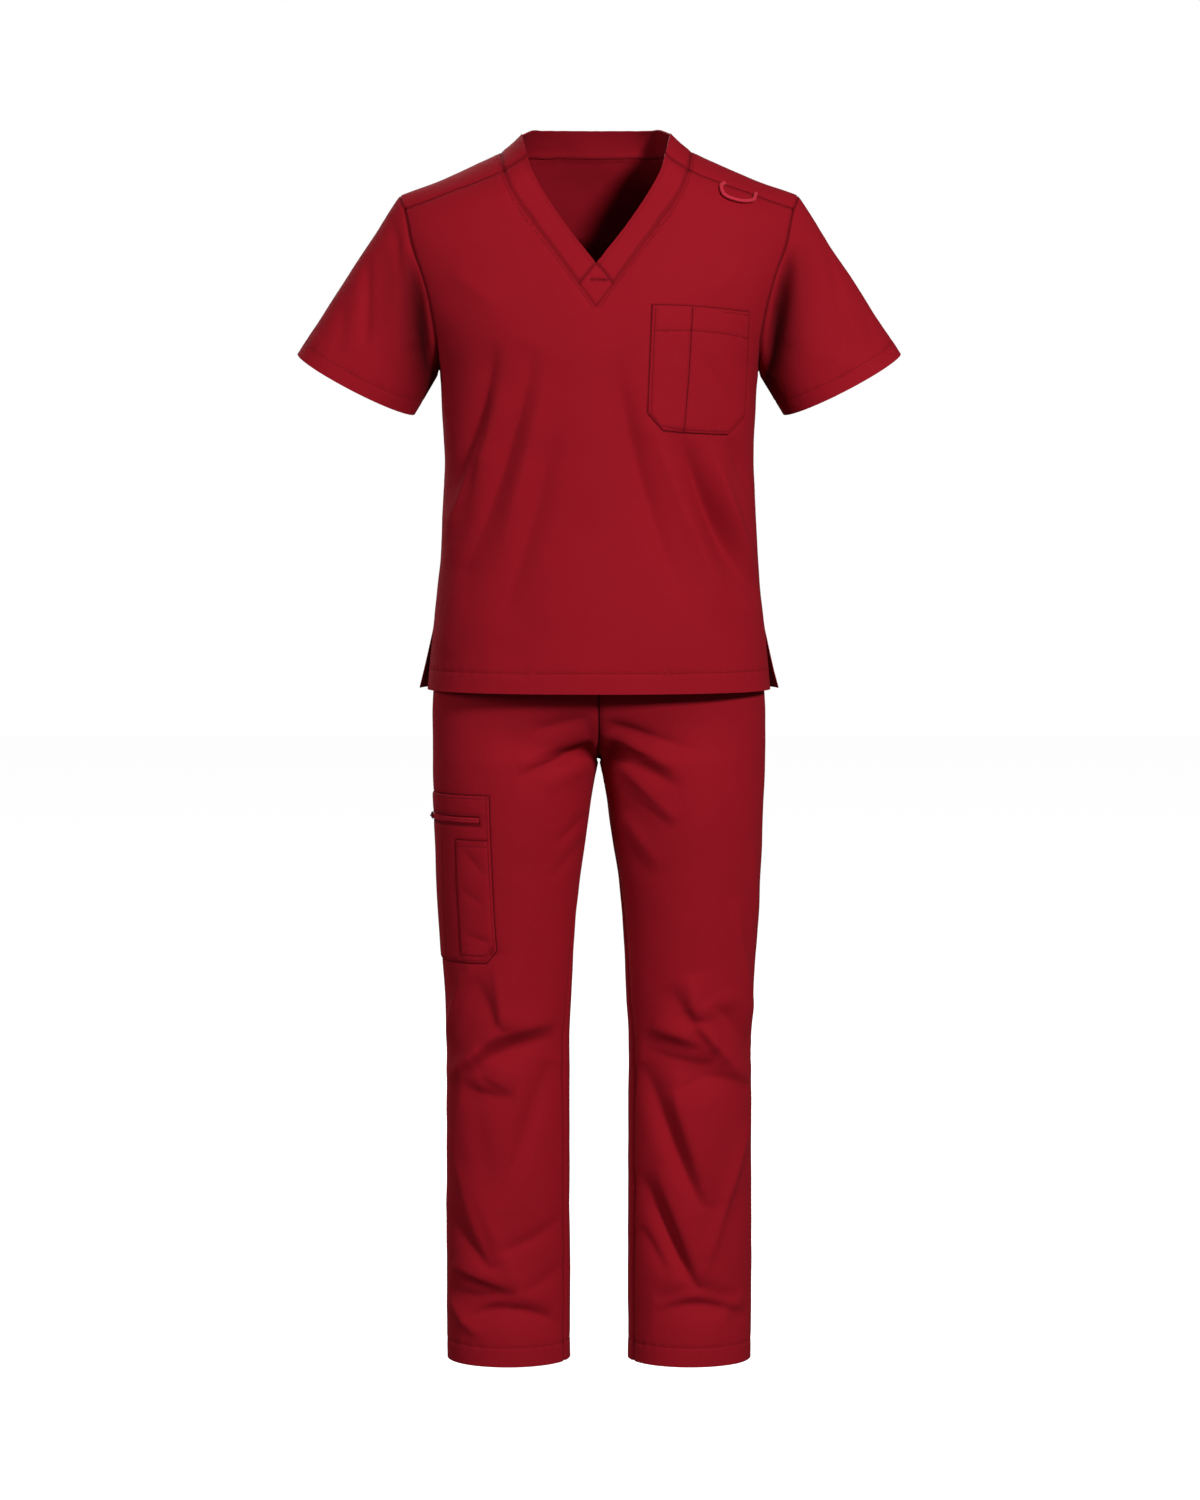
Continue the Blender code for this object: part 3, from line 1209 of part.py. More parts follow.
# the top
top = Cloth()
build_top(top)
top.weld()
top.normals()
facing = top.skin[:, 1]
sleeve_points = np.zeros(len(top.skin))
body_points = np.zeros(len(top.skin))
on_sleeve = np.isin(top.piece, ["sleeve_left", "sleeve_right"])
sleeve_points[np.unique(top.tris[on_sleeve])] = 1.0
body_points[np.unique(top.tris[~on_sleeve])] = 1.0
sleeve_points = sleeve_points * (1 - body_points)
edge_fade = np.clip(-facing / 0.05, 0, 1)
back_fade = np.clip(facing / 0.05, 0, 1)
top.fold([
    (TOP_FRONT_FOLDS, edge_fade * body_points),
    (TOP_BACK_FOLDS, back_fade * body_points),
    (SLEEVE_FOLDS, edge_fade * sleeve_points),
    (tuple((-a, b, -c, d, w, h, s) for a, b, c, d, w, h, s in SLEEVE_FOLDS),
     edge_fade * sleeve_points),
])
top.normals()
WALLS = {
    "top_front": CLOTH, "top_back": CLOTH, "sleeve_left": CLOTH, "sleeve_right": CLOTH,
    "neckband_left": BAND_CLOTH, "neckband_right": BAND_CLOTH, "neckband_back": BAND_CLOTH,
    "neck_point": BAND_CLOTH,
}
made = {}
for key, wall in WALLS.items():
    made[key] = shell(key, top.skin, top.normal, top.tris[top.piece == key], -wall, 0.0)
pocket_tris = np.array([("chest_pocket" in p) for p in top.patches])
made["chest_pocket"] = shell("chest_pocket", top.skin, top.normal, top.tris[pocket_tris],
                             PATCH_LIFT, PATCH_LIFT + PATCH_CLOTH)

# the badge loop, lying on the front just below the shoulder seam
seen = curve_points(BADGE_LOOP, 19)
places = body_flat(seen[:, 0], seen[:, 1], False)
on_cloth = body_point(places[:, 0], places[:, 1])
d_across = body_point(places[:, 0] + 1e-4, places[:, 1]) - on_cloth
d_up = body_point(places[:, 0], places[:, 1] + 1e-4) - on_cloth
outward = np.cross(d_across, d_up)
outward /= np.linalg.norm(outward, axis=1)[:, None]
lift = LOOP_CORD / 2 + 0.5 * MM + 1.6 * MM * np.sin(np.linspace(0, math.pi, len(seen)))
made["badge_loop"] = cord_solid("badge_loop", on_cloth + outward * lift[:, None],
                                LOOP_CORD / 2, CORD_SIDES)

# the trousers
legs = Cloth()
build_leg(legs, -1)
build_leg(legs, 1)
build_waistband(legs)
legs.weld()
legs.normals()
facing = legs.skin[:, 1]
ahead = np.clip(-facing / 0.03, 0, 1)
behind = np.clip(facing / 0.03, 0, 1)
on_right = np.clip(-legs.skin[:, 0] / 0.004, 0, 1)
on_left = np.clip(legs.skin[:, 0] / 0.004, 0, 1)
legs.fold([
    (LEG_FRONT_FOLDS_RIGHT, ahead * on_right),
    (LEG_FRONT_FOLDS_LEFT, ahead * on_left),
    (LEG_BACK_FOLDS_RIGHT, behind * on_right),
    (LEG_BACK_FOLDS_LEFT, behind * on_left),
])
legs.normals()
for key in ("trouser_front_right", "trouser_front_left", "trouser_back_right",
            "trouser_back_left"):
    made[key] = shell(key, legs.skin, legs.normal, legs.tris[legs.piece == key], -CLOTH, 0.0)
made["waistband"] = shell("waistband", legs.skin, legs.normal,
                          legs.tris[legs.piece == "waistband"], -WAIST_CLOTH, 0.0)
for key, lift in (("cargo_pocket", PATCH_LIFT), ("zip_tape", PATCH_LIFT),
                  ("cargo_pen_pocket", PEN_LIFT)):
    chosen = np.array([(key in p) for p in legs.patches])
    made[key] = shell(key, legs.skin, legs.normal, legs.tris[chosen], lift, lift + PATCH_CLOTH)

# slider and pull at the outseam end of the zip
level = np.array([ZIP_Z - CROTCH_Z])
spot = leg_from_flat(np.array([SLIDER_AT]), level)[0] * [-1, 1, 1]
step_on = leg_from_flat(np.array([SLIDER_AT + 1e-4]), level)[0] * [-1, 1, 1] - spot
step_up = leg_from_flat(np.array([SLIDER_AT]), level + 1e-4)[0] * [-1, 1, 1] - spot
away = np.cross(step_up, step_on)
if away[0] > 0:
    away = -away
slider, pull, pivot, pin = build_zip_metal((spot, away, step_on))
made["zip_slider"] = slider
made["zip_pull"] = pull

RED = (0.265, 0.010, 0.020)
BRIGHT = (0.45, 0.03, 0.05)
DARK = (0.09, 0.008, 0.012)
for key, item in made.items():
    if key in ("zip_slider", "zip_pull"):
        material(item, DARK, 0.4, 0.6)
    elif key in ("badge_loop", "zip_tape"):
        material(item, BRIGHT, 0.6)
    else:
        material(item, RED, 0.8)
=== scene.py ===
import math

import bpy
import numpy as np
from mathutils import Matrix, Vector, kdtree, noise
from mathutils.geometry import delaunay_2d_cdt


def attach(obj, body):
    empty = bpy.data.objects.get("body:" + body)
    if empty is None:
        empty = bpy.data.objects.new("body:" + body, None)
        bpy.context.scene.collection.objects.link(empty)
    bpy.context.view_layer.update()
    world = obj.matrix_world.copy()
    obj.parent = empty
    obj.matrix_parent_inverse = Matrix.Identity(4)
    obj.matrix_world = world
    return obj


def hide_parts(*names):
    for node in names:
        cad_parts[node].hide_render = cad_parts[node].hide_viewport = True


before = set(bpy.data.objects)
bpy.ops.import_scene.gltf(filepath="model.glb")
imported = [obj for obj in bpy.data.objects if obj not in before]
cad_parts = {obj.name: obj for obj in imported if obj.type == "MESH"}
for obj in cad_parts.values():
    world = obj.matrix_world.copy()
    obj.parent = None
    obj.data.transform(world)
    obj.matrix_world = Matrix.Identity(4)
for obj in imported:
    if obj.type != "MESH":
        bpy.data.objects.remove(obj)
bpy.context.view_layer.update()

MM = 0.001
ORIGIN_Z = 1.500              # shoulder line above the level that heights count from

# ---- cloth ----
PATCH_CLOTH = 1.2 * MM        # patch pockets and zip tape
PATCH_LIFT = 0.3 * MM         # underside of a patch above the cloth it lies on
PEN_LIFT = PATCH_LIFT * 2 + PATCH_CLOTH

# ---- body of the top ----
SQUARENESS = 2.3              # superellipse power of a level section
NECK_SHIFT = -0.0035          # the neck sits this far off the middle
NECK_FADE = 0.25              # the shift has gone at this distance from the middle
START_HALF = 0.24             # half width that the search for a place starts from
FRONT_ROLL = 0.065            # height of the shoulder roll, front
BACK_ROLL = 0.060             # height of the shoulder roll, back
HEM_Z = 0.855
VENT_TOP_Z = 0.942
ARMPIT_Z = 1.258
VENT_FRONT_SET = 0.016        # front edge of the vent from the side line at the hem
VENT_BACK_SET = 0.012
FLAT_HALF = 0.285             # half width of a panel drawn flat

# columns: distance from the neck centre, height of the shoulder ridge
RIDGE = ((0.000, 1.604), (0.040, 1.601), (0.075, 1.583), (0.095, 1.559), (0.122, 1.5365),
         (0.152, 1.5220), (0.197, 1.502), (0.256, 1.480), (0.300, 1.461))

# columns: z, section half width front, section half width back, front depth, back depth
TORSO = (
    (0.855, 0.2195, 0.2305, 0.151, 0.143),
    (0.900, 0.2145, 0.2190, 0.149, 0.140),
    (0.942, 0.2106, 0.2106, 0.147, 0.137),
    (1.019, 0.2030, 0.2030, 0.142, 0.131),
    (1.096, 0.1990, 0.1990, 0.139, 0.127),
    (1.147, 0.1972, 0.1972, 0.139, 0.127),
    (1.198, 0.1990, 0.1990, 0.140, 0.128),
    (1.258, 0.2025, 0.2025, 0.139, 0.130),
    (1.288, 0.2110, 0.2110, 0.137, 0.131),
    (1.324, 0.2260, 0.2260, 0.133, 0.130),
    (1.366, 0.2410, 0.2410, 0.125, 0.127),
    (1.420, 0.2580, 0.2580, 0.109, 0.116),
    (1.460, 0.2650, 0.2650, 0.094, 0.104),
    (1.500, 0.2750, 0.2750, 0.076, 0.091),
    (1.535, 0.2850, 0.2850, 0.062, 0.078),
    (1.568, 0.2850, 0.2850, 0.052, 0.072),
    (1.610, 0.2850, 0.2850, 0.047, 0.070))

# columns: z, half distance between the armhole seams
ARMHOLE = ((1.258, 0.2025), (1.288, 0.2035), (1.324, 0.2095), (1.366, 0.2190),
           (1.420, 0.2370), (1.460, 0.2455), (1.482, 0.2530), (1.500, 0.2560))

# columns: distance from the neck centre, drop of the shoulder seam below the ridge
SHOULDER_SEAM = ((0.085, 0.036), (0.122, 0.0265), (0.152, 0.025), (0.194, 0.021),
                 (0.260, 0.020))

# columns: z, distance from the neck centre; outer seam of the band down the front
BAND_SEAM = ((1.3659, 0.0212), (1.3700, 0.0243), (1.4155, 0.0576), (1.4570, 0.0880),
             (1.4900, 0.1087), (1.5135, 0.1185))
# columns: z, distance from the neck centre; free inner edge of the band down the front
BAND_EDGE = ((1.3925, 0.0000), (1.4345, 0.0335), (1.4875, 0.0690), (1.5260, 0.0888))
NECK_POINT_Z = 1.338
BAND_SEAM_REACH = 0.1175      # where the shoulder seam crosses the band's outer seam
BAND_EDGE_REACH = 0.0880      # where the shoulder seam meets the band's free edge
# columns: distance from the neck centre, z; the band behind the ridge
BACK_SEAM = ((0.122, 1.5365), (0.115, 1.5345), (0.000, 1.5330))
BACK_EDGE = ((0.0947, 1.559), (0.0935, 1.5602), (0.0905, 1.5622), (0.0830, 1.5662),
             (0.0730, 1.5672), (0.000, 1.5675))

# ---- places of the stations along the seams ----
ARMPIT_REACH = 0.2025         # half distance between the armpits
# arcs from the ridge down each armhole, to just above the armpit
ARMHOLE_ARCS_FRONT = (0.0, 0.018, 0.036, 0.0525, 0.076, 0.100, 0.124, 0.150, 0.178, 0.206,
                      0.235, 0.262)
ARMHOLE_ARCS_BACK = (0.0, 0.022, 0.046, 0.072, 0.098, 0.124, 0.150, 0.178, 0.206, 0.235, 0.262)
SHOULDER_AT = 3               # station of the front armhole where the shoulder seam ends
SHOULDER_REACHES = (0.139, 0.162, 0.185, 0.208, 0.231)
BAND_SEAM_STOPS = (1.3659, 1.384, 1.402, 1.420, 1.438, 1.456, 1.474, 1.492)
BAND_EDGE_STOPS = (1.3925, 1.4085, 1.425, 1.4415, 1.458, 1.475, 1.492, 1.509)
BEHIND_SHARES = (0.36, 0.66, 0.86)      # of the way from the shoulder seam to the ridge
BACK_SEAM_STOPS = (0.1205, 0.115, 0.104, 0.089, 0.072, 0.054, 0.036, 0.018)
BACK_EDGE_STOPS = (0.0938, 0.0905, 0.084, 0.074, 0.061, 0.046, 0.031, 0.015)
SIDE_STOPS = 13
VENT_STOPS = 4
HEM_STOPS = 20
LEG_STOPS = 34                # levels from the trouser hem to the crotch
RISE_STOPS = 13               # levels from the crotch to the waist seam
WAIST_STOPS = 11              # stations across each panel's top edge and hem

# ---- sleeves ----
CUFF_CENTRE_X = 0.3090
CUFF_CENTRE_Z = 1.2430
CUFF_HALF = 0.0840            # half width of the cuff, seen from the front
CUFF_DEPTH = 0.0580           # half depth of the cuff, front to back
CUFF_TILT_DEG = 27.5          # the cuff's line falls this far towards the body
CUFF_FRONT_DROP = 0.0095      # the front of the cuff hangs lower than its corners

# ---- chest pocket (wearer's left), seen from the front ----
# columns: x, z of the corners
CHEST_POCKET = ((0.0670, 1.3390), (0.0615, 1.2050), (0.0795, 1.1845), (0.1060, 1.1815),
                (0.1630, 1.1790), (0.1840, 1.2020), (0.1870, 1.2700), (0.1895, 1.3310),
                (0.1530, 1.3350), (0.1150, 1.3380))

# ---- badge loop (wearer's left shoulder), seen from the front ----
LOOP_CORD = 0.0044            # thickness of the cord
# columns: x, z along the cord
BADGE_LOOP = ((0.1575, 1.4935), (0.1525, 1.4880), (0.1545, 1.4790), (0.1660, 1.4715),
              (0.1800, 1.4690), (0.1930, 1.4715), (0.1975, 1.4815))

# ---- trousers ----
CROTCH_Z = 0.766
LEG_HEM_Z = -0.0075
CROTCH_RISE = 0.110           # height over which the crotch curve turns upright
WAIST_SEAM_Z = 0.985
WAIST_TOP_Z = 1.023
INSEAM_TURN_DEG = 24.0        # the inseam shows this far round the lower leg
INSEAM_TURN_Z = 0.400

# columns: z, outseam x, inseam x, front depth, back depth of one leg
LEG = (
    (-0.0075, 0.1960, 0.0372, 0.0790, 0.0790),
    (0.072, 0.1965, 0.0372, 0.0780, 0.0780),
    (0.200, 0.1965, 0.0374, 0.0765, 0.0780),
    (0.328, 0.1960, 0.0376, 0.0765, 0.0785),
    (0.404, 0.1962, 0.0380, 0.0785, 0.0800),
    (0.456, 0.1975, 0.0352, 0.0815, 0.0830),
    (0.507, 0.2010, 0.0330, 0.0850, 0.0865),
    (0.558, 0.2045, 0.0300, 0.0895, 0.0910),
    (0.609, 0.2072, 0.0248, 0.0940, 0.0960),
    (0.660, 0.2090, 0.0175, 0.0990, 0.1020),
    (0.712, 0.2112, 0.0100, 0.1030, 0.1080),
    (0.740, 0.2124, 0.0052, 0.1040, 0.1110),
    (0.766, 0.2130, 0.0000, 0.1050, 0.1130),
    (0.820, 0.2130, 0.0000, 0.1060, 0.1160),
    (1.030, 0.1600, 0.0000, 0.1060, 0.1160))

HIP_SQUARENESS = 2.15         # superellipse power of a level section of the hips
# columns: z, half width, front depth, back depth of the hips
HIPS = (
    (0.740, 0.2124, 0.114, 0.124),
    (0.766, 0.2130, 0.118, 0.128),
    (0.820, 0.2130, 0.122, 0.136),
    (0.850, 0.2120, 0.124, 0.137),
    (0.880, 0.2075, 0.124, 0.135),
    (0.905, 0.2015, 0.123, 0.131),
    (0.940, 0.1890, 0.119, 0.123),
    (0.985, 0.1690, 0.110, 0.111),
    (1.023, 0.1640, 0.107, 0.108))

# ---- cargo pocket (wearer's right leg); distances run round the leg from the outseam ----
POCKET_TOP = 0.7235
POCKET_BOTTOM = 0.5105
POCKET_FRONT = 0.1315         # front edge ahead of the outseam, at its top
POCKET_LEAN = 0.010           # the front edge leans back on its way down
POCKET_BACK = 0.058           # back edge behind the outseam
POCKET_CHAMFER = 0.016
ZIP_Z = 0.6925
ZIP_HALF = 0.0050
ZIP_FRONT = 0.117
ZIP_BACK = 0.018
PEN_TOP = 0.6665
PEN_FRONT = 0.125
PEN_BACK = 0.078
PEN_BOTTOM = 0.5195
PEN_LEAN = 0.006
PEN_CHAMFER = 0.013


# ---- folds: soft troughs (negative) and ridges (positive), in millimetres ----
# columns: x and z at one end, x and z at the other, half width, height, lean to the first end
TOP_FRONT_FOLDS = (
    (-94, 1292, -150, 1150, 16, -4, 0.8),
    (-150, 1150, -188, 1040, 20, -4, 1),
    (-52, 1270, -98, 1020, 18, -3, 0.9),
    (-120, 1230, -168, 1010, 14, 3.5, 1),
    (20, 1240, 52, 1060, 17, -3, 1),
    (62, 1180, 128, 980, 18, -4, 0.8),
    (120, 1160, 165, 1020, 15, -3.5, 0.8),
    (145, 1170, 192, 990, 10, 4, 0.9),
    (-178, 1010, -196, 900, 14, 3, 1),
    (-70, 1000, -120, 875, 24, -3, 1.2),
    (150, 980, 165, 880, 22, -2.5, 1.2),
    (30, 1020, 60, 890, 26, 2.5, 1.2))
TOP_BACK_FOLDS = (
    (-110, 1330, -160, 1120, 20, -4.5, 0.9),
    (105, 1320, 155, 1110, 20, -4.5, 0.9),
    (-40, 1250, -70, 990, 22, -3.5, 1),
    (50, 1230, 85, 960, 22, -3.5, 1),
    (0, 1180, 6, 920, 18, 4, 1),
    (-130, 1060, -155, 890, 18, 3.5, 1),
    (125, 1050, 160, 885, 18, 3.5, 1))
# columns as above, with distance beyond the shoulder tip in place of x
SLEEVE_FOLDS = (
    (236, 1410, 228, 1300, 10, -6, 0.9),
    (262, 1440, 300, 1290, 16, -4.5, 0.8),
    (252, 1400, 262, 1270, 11, 4, 1))
LEG_FRONT_FOLDS_RIGHT = (
    (-8, 785, -78, 756, 11, -6, 0.7),
    (-14, 800, -82, 792, 13, 4, 0.8),
    (-16, 762, -70, 735, 12, 4, 0.8),
    (-140, 545, -122, 442, 16, -6, 1.2),
    (-160, 530, -185, 400, 10, 4.5, 1),
    (-152, 394, -48, 424, 12, -7, 0.7),
    (-135, 418, -185, 366, 10, 6, 1),
    (-172, 378, -104, 344, 11, -6.5, 1.2),
    (-60, 385, -110, 270, 17, -3.5, 0.9),
    (-165, 360, -140, 210, 14, -4, 1),
    (-190, 290, -132, 128, 13, -6.5, 1.3),
    (-180, 255, -100, 90, 10, 5, 1.2),
    (-186, 110, -104, 85, 11, -6, 1.3),
    (-155, 62, -106, 74, 9, -5, 1),
    (-106, 74, -55, 54, 9, -5, 1),
    (-186, 70, -150, 30, 10, 4, 1))
LEG_FRONT_FOLDS_LEFT = (
    (10, 790, 92, 745, 11, -8, 0.9),
    (12, 812, 66, 796, 10, -5, 0.8),
    (30, 788, 98, 772, 12, 4.5, 1),
    (18, 748, 86, 706, 11, -5.5, 0.9),
    (24, 716, 66, 672, 13, -3, 0.9),
    (112, 450, 132, 398, 12, -6, 1),
    (52, 412, 142, 396, 11, -7, 1.1),
    (118, 442, 180, 466, 12, 5, 0.8),
    (172, 590, 192, 400, 8, 5, 1),
    (98, 366, 176, 382, 10, -5.5, 0.9),
    (58, 388, 126, 218, 14, -6.5, 1.2),
    (52, 250, 120, 110, 15, -6.5, 1.3),
    (188, 300, 138, 130, 9, 5.5, 1.1),
    (72, 76, 118, 96, 9, -5.5, 1),
    (118, 96, 180, 78, 9, -5.5, 1),
    (186, 84, 150, 40, 10, 4, 1))
LEG_BACK_FOLDS_RIGHT = (
    (-10, 790, -95, 770, 13, -7, 0.8),
    (-14, 745, -90, 708, 14, -6.5, 0.8),
    (-20, 700, -75, 655, 13, -4.5, 0.8),
    (-150, 640, -128, 470, 18, -5, 1),
    (-50, 440, -165, 420, 12, -7, 1),
    (-70, 400, -172, 372, 12, -6.5, 1),
    (-60, 420, -150, 396, 10, 5, 1),
    (-80, 330, -150, 130, 16, -5.5, 1.1),
    (-70, 100, -160, 78, 11, -5.5, 1))
LEG_BACK_FOLDS_LEFT = (
    (12, 795, 98, 762, 13, -7, 0.8),
    (16, 748, 82, 700, 14, -6.5, 0.8),
    (22, 695, 80, 660, 13, -4.5, 0.8),
    (140, 620, 160, 450, 18, -5, 1),
    (55, 430, 170, 404, 12, -7, 1),
    (60, 388, 160, 378, 12, -6, 1),
    (160, 320, 90, 140, 16, -5.5, 1.1),
    (65, 84, 165, 104, 11, -5.5, 1))

BAND_COLUMNS = 2              # stations across the band
NUDGE = 1e-9

# ---- sewn bands ----
HEM_BAND = 0.026              # stitching above the top's hem
LEG_BAND = 0.025              # stitching above the trouser hems
CUFF_BAND = 0.020             # stitching above the cuffs
POINT_BAR_Z = 1.3710          # short cross stitching below the V
POINT_BAR_ENDS = (-0.0105, 0.0095)
TOP_PIECES = ("top_front", "top_back", "sleeve_left", "sleeve_right", "neckband_left",
              "neckband_right", "neckband_back", "neck_point")
SLEEVES = ("sleeve_left", "sleeve_right")
LEG_PIECES = ("trouser_front_right", "trouser_front_left", "trouser_back_right",
              "trouser_back_left", "waistband")

# ---- details of the pockets; columns: x, z seen from the front ----
CHEST_BAND = ((0.0690, 1.3080), (0.1170, 1.3080), (0.1600, 1.3040), (0.1870, 1.2990))
CHEST_SLOT = ((0.1168, 1.3375), (0.1143, 1.2950), (0.1118, 1.2500), (0.1060, 1.1820))
# painted shadow round the chest pocket, darker on its sides away from the light; columns: from
# and to, as shares of the way round from the upper inner corner, and the shade
CHEST_EDGE_SHADOW = ((0.0, 0.46, 0.9), (0.46, 0.77, 0.3), (0.77, 1.0, 0.7))
# columns: distance round from the outseam, z
PLEAT_TOP = (-0.048, 0.6640)
PLEAT_LOW = (-0.0385, 0.5180)
PEN_HEM = 0.007               # hem of the pen pocket below its top edge
COIL_PITCH = 1.4 * MM
TURN_SET = 1.4 * MM           # middle of each row of coil turns off the zip's middle
TURN_HALF = 1.7 * MM          # half length, width and thickness of a turn
TURN_WIDE = 0.42 * COIL_PITCH
TURN_THICK = 0.55 * MM
TURN_LIFT = PATCH_LIFT + 1.0 * MM

# ---- finer creases, beside the folds above, in millimetres ----
# columns: x, z of one end, x, z of the other, width above the line and below it, height,
# lean (where it is deepest), bow upwards, and taper (share of the width lost on the way)
TOP_FRONT_CREASES = (
    (-144, 1203, -199, 1035, 13, 7, 4, 1, 0, 0),
    (-129, 1296, -197, 1070, 15, 14, -9, 0.9, -4, -0.4),
    (-80, 1290, -188, 958, 14, 18, -7.5, 0.8, -7, -0.4),
    (-121, 1247, -167, 1078, 13, 13, 4, 1, 0, 0),
    (-65, 1256, -124, 1022, 16, 16, 4, 1, 0, 0),
    (-45, 1209, -126, 928, 16, 18, -5, 1, 0, 0),
    (21, 1284, 119, 941, 14, 19, -8, 0.9, -13, -0.3),
    (64, 1197, 175, 936, 16, 16, 6.5, 1, -4, 0),
    (96, 1190, 205, 961, 13, 22, -14, 1, -4, 0),
    (139, 1169, 204, 991, 7, 11, 6.5, 1, -3, 0),
    (163, 1177, 201, 1088, 10, 10, -5, 1, 0, 0),
    (-192, 1387, -117, 1331, 15, 15, 2, 1, 0, 0),
    (187, 1387, 126, 1346, 15, 15, 1.5, 1, 0, 0),
    (126, 1286, 175, 1200, 5, 6, -1.6, 1, 0, 0),
    (136, 1303, 180, 1220, 5, 5, 1.2, 1, 0, 0))
LEG_RIGHT_CREASES = (
    (-133, 521, -123, 425, 20, 9, 5.9, 1.4, 0, 0.5),
    (-159, 495, -128, 425, 9, 18, -3.5, 1.3, 0, 0.4),
    (-173, 498, -200, 394, 5, 5, 2.4, 1, 0, 0),
    (-126, 425, -193, 354, 10, 10, 4.1, 1, 0, 0),
    (-159, 378, -54, 413, 10, 28, -6.5, 0.9, 5, 0),
    (-143, 412, -55, 431, 22, 9, 3.5, 1, 4, 0),
    (-102, 336, -175, 349, 10, 25, -5.9, 1.2, -3, -0.3),
    (-107, 345, -154, 370, 19, 6, 3.5, 1.2, 0, 0),
    (-62, 381, -127, 197, 11, 11, -4.1, 1, 0, 0.3),
    (-192, 292, -136, 122, 28, 10, 5, 1.2, -4, 0.3),
    (-193, 192, -134, 115, 9, 13, -3.5, 1.1, -4, 0.5),
    (-102, 86, -192, 84, 10, 22, -5.2, 1.4, -3, -0.5),
    (-104, 90, -189, 118, 18, 7, 4.7, 1.2, 0, 0),
    (-174, 52, -50, 44, 7, 20, -5.9, 1, 18, 0),
    (-131, 140, -47, 182, 9, 10, -2.9, 1, -6, 0),
    (-98, 89, -42, 123, 9, 10, -1.8, 1, -4, 0),
    (-192, 75, -156, 32, 6, 6, 2.4, 1, -4, 0),
    (-8, 787, -103, 749, 5, 16, -4, 0.8, 1, 0.4),
    (-11, 801, -106, 764, 15, 7, 2.2, 0.8, 1, 0.3),
    (-14, 824, -87, 805, 9, 9, -2.5, 0.9, 0, 0),
    (-173, 657, -140, 618, 5, 7, -1.1, 1, 0, 0),
    (-175, 605, -143, 582, 6, 6, -0.8, 1, 0, 0),
    (-169, 546, -135, 537, 5, 6, -1.1, 1, 0, 0),
    (-14, 698, -56, 659, 6, 7, -2, 0.9, 0, 0.3),
    (-18, 665, -62, 616, 7, 9, -1.6, 0.9, 0, 0.3))
LEG_LEFT_CREASES = (
    (113, 496, 123, 435, 18, 10, 4.7, 1.4, 0, 0.3),
    (87, 483, 118, 433, 9, 18, -3.5, 1.3, 0, 0.4),
    (124, 433, 191, 352, 11, 11, 5.9, 0.8, 0, -0.2),
    (143, 458, 199, 373, 13, 7, -4.7, 1, 9, 0),
    (123, 425, 154, 383, 7, 10, -3.5, 1, 0, 0),
    (55, 397, 151, 380, 11, 28, -7.1, 1.1, -4, 0.2),
    (65, 428, 149, 396, 20, 9, 4.1, 1, 3, 0),
    (98, 342, 190, 348, 9, 20, -4.7, 1, 18, 0),
    (95, 348, 139, 197, 33, 11, 7.1, 0.9, 0, 0.4),
    (54, 379, 134, 194, 11, 10, -7.1, 1, -6, 0.4),
    (74, 250, 131, 94, 22, 9, 5.3, 1.2, 0, 0.3),
    (52, 238, 129, 89, 9, 11, -7.1, 1.3, -5, 0.2),
    (52, 169, 88, 110, 7, 9, -2.9, 1, 0, 0),
    (70, 60, 190, 50, 7, 20, -6.5, 1, 18, 0),
    (199, 311, 134, 107, 5, 5, 2.6, 1, 3, 0),
    (172, 596, 214, 371, 5, 5, 2.6, 1, -5, 0),
    (195, 664, 202, 552, 4, 4, 1.8, 1, 0, 0),
    (9, 771, 104, 736, 11, 18, -5, 0.7, 0, 0.5),
    (9, 802, 97, 757, 10, 10, 2.4, 0.8, 0, 0.3),
    (5, 818, 130, 780, 6, 7, -1.6, 0.8, 0, 0.3),
    (22, 759, 100, 694, 9, 11, 3, 0.9, 0, 0.2),
    (17, 732, 97, 681, 10, 28, -3.4, 0.8, 0, 0.3),
    (27, 700, 80, 632, 9, 10, 1.6, 0.9, 0, 0),
    (22, 678, 67, 616, 10, 15, -1.2, 0.9, 0, 0))
SLEEVE_CREASES = (
    (-235, 1401, -210, 1254, 15, 9, -9, 1.2, 0, 0),
    (-251, 1419, -233, 1285, 15, 7, 4, 1.1, 0, 0),
    (-264, 1456, -239, 1298, 5, 6, -3, 1, 4, 0),
    (-294, 1405, -294, 1285, 6, 6, -3.5, 1, 0, 0),
    (238, 1401, 210, 1256, 9, 15, -9, 1.2, 0, 0),
    (255, 1416, 232, 1291, 7, 18, 4, 1.1, 0, 0),
    (288, 1425, 313, 1270, 7, 7, -3, 1, 3, 0),
    (-322, 1349, -329, 1273, 9, 9, -2, 1, 0, 0),
    (342, 1337, 345, 1283, 7, 7, -1.6, 1, 0, 0))
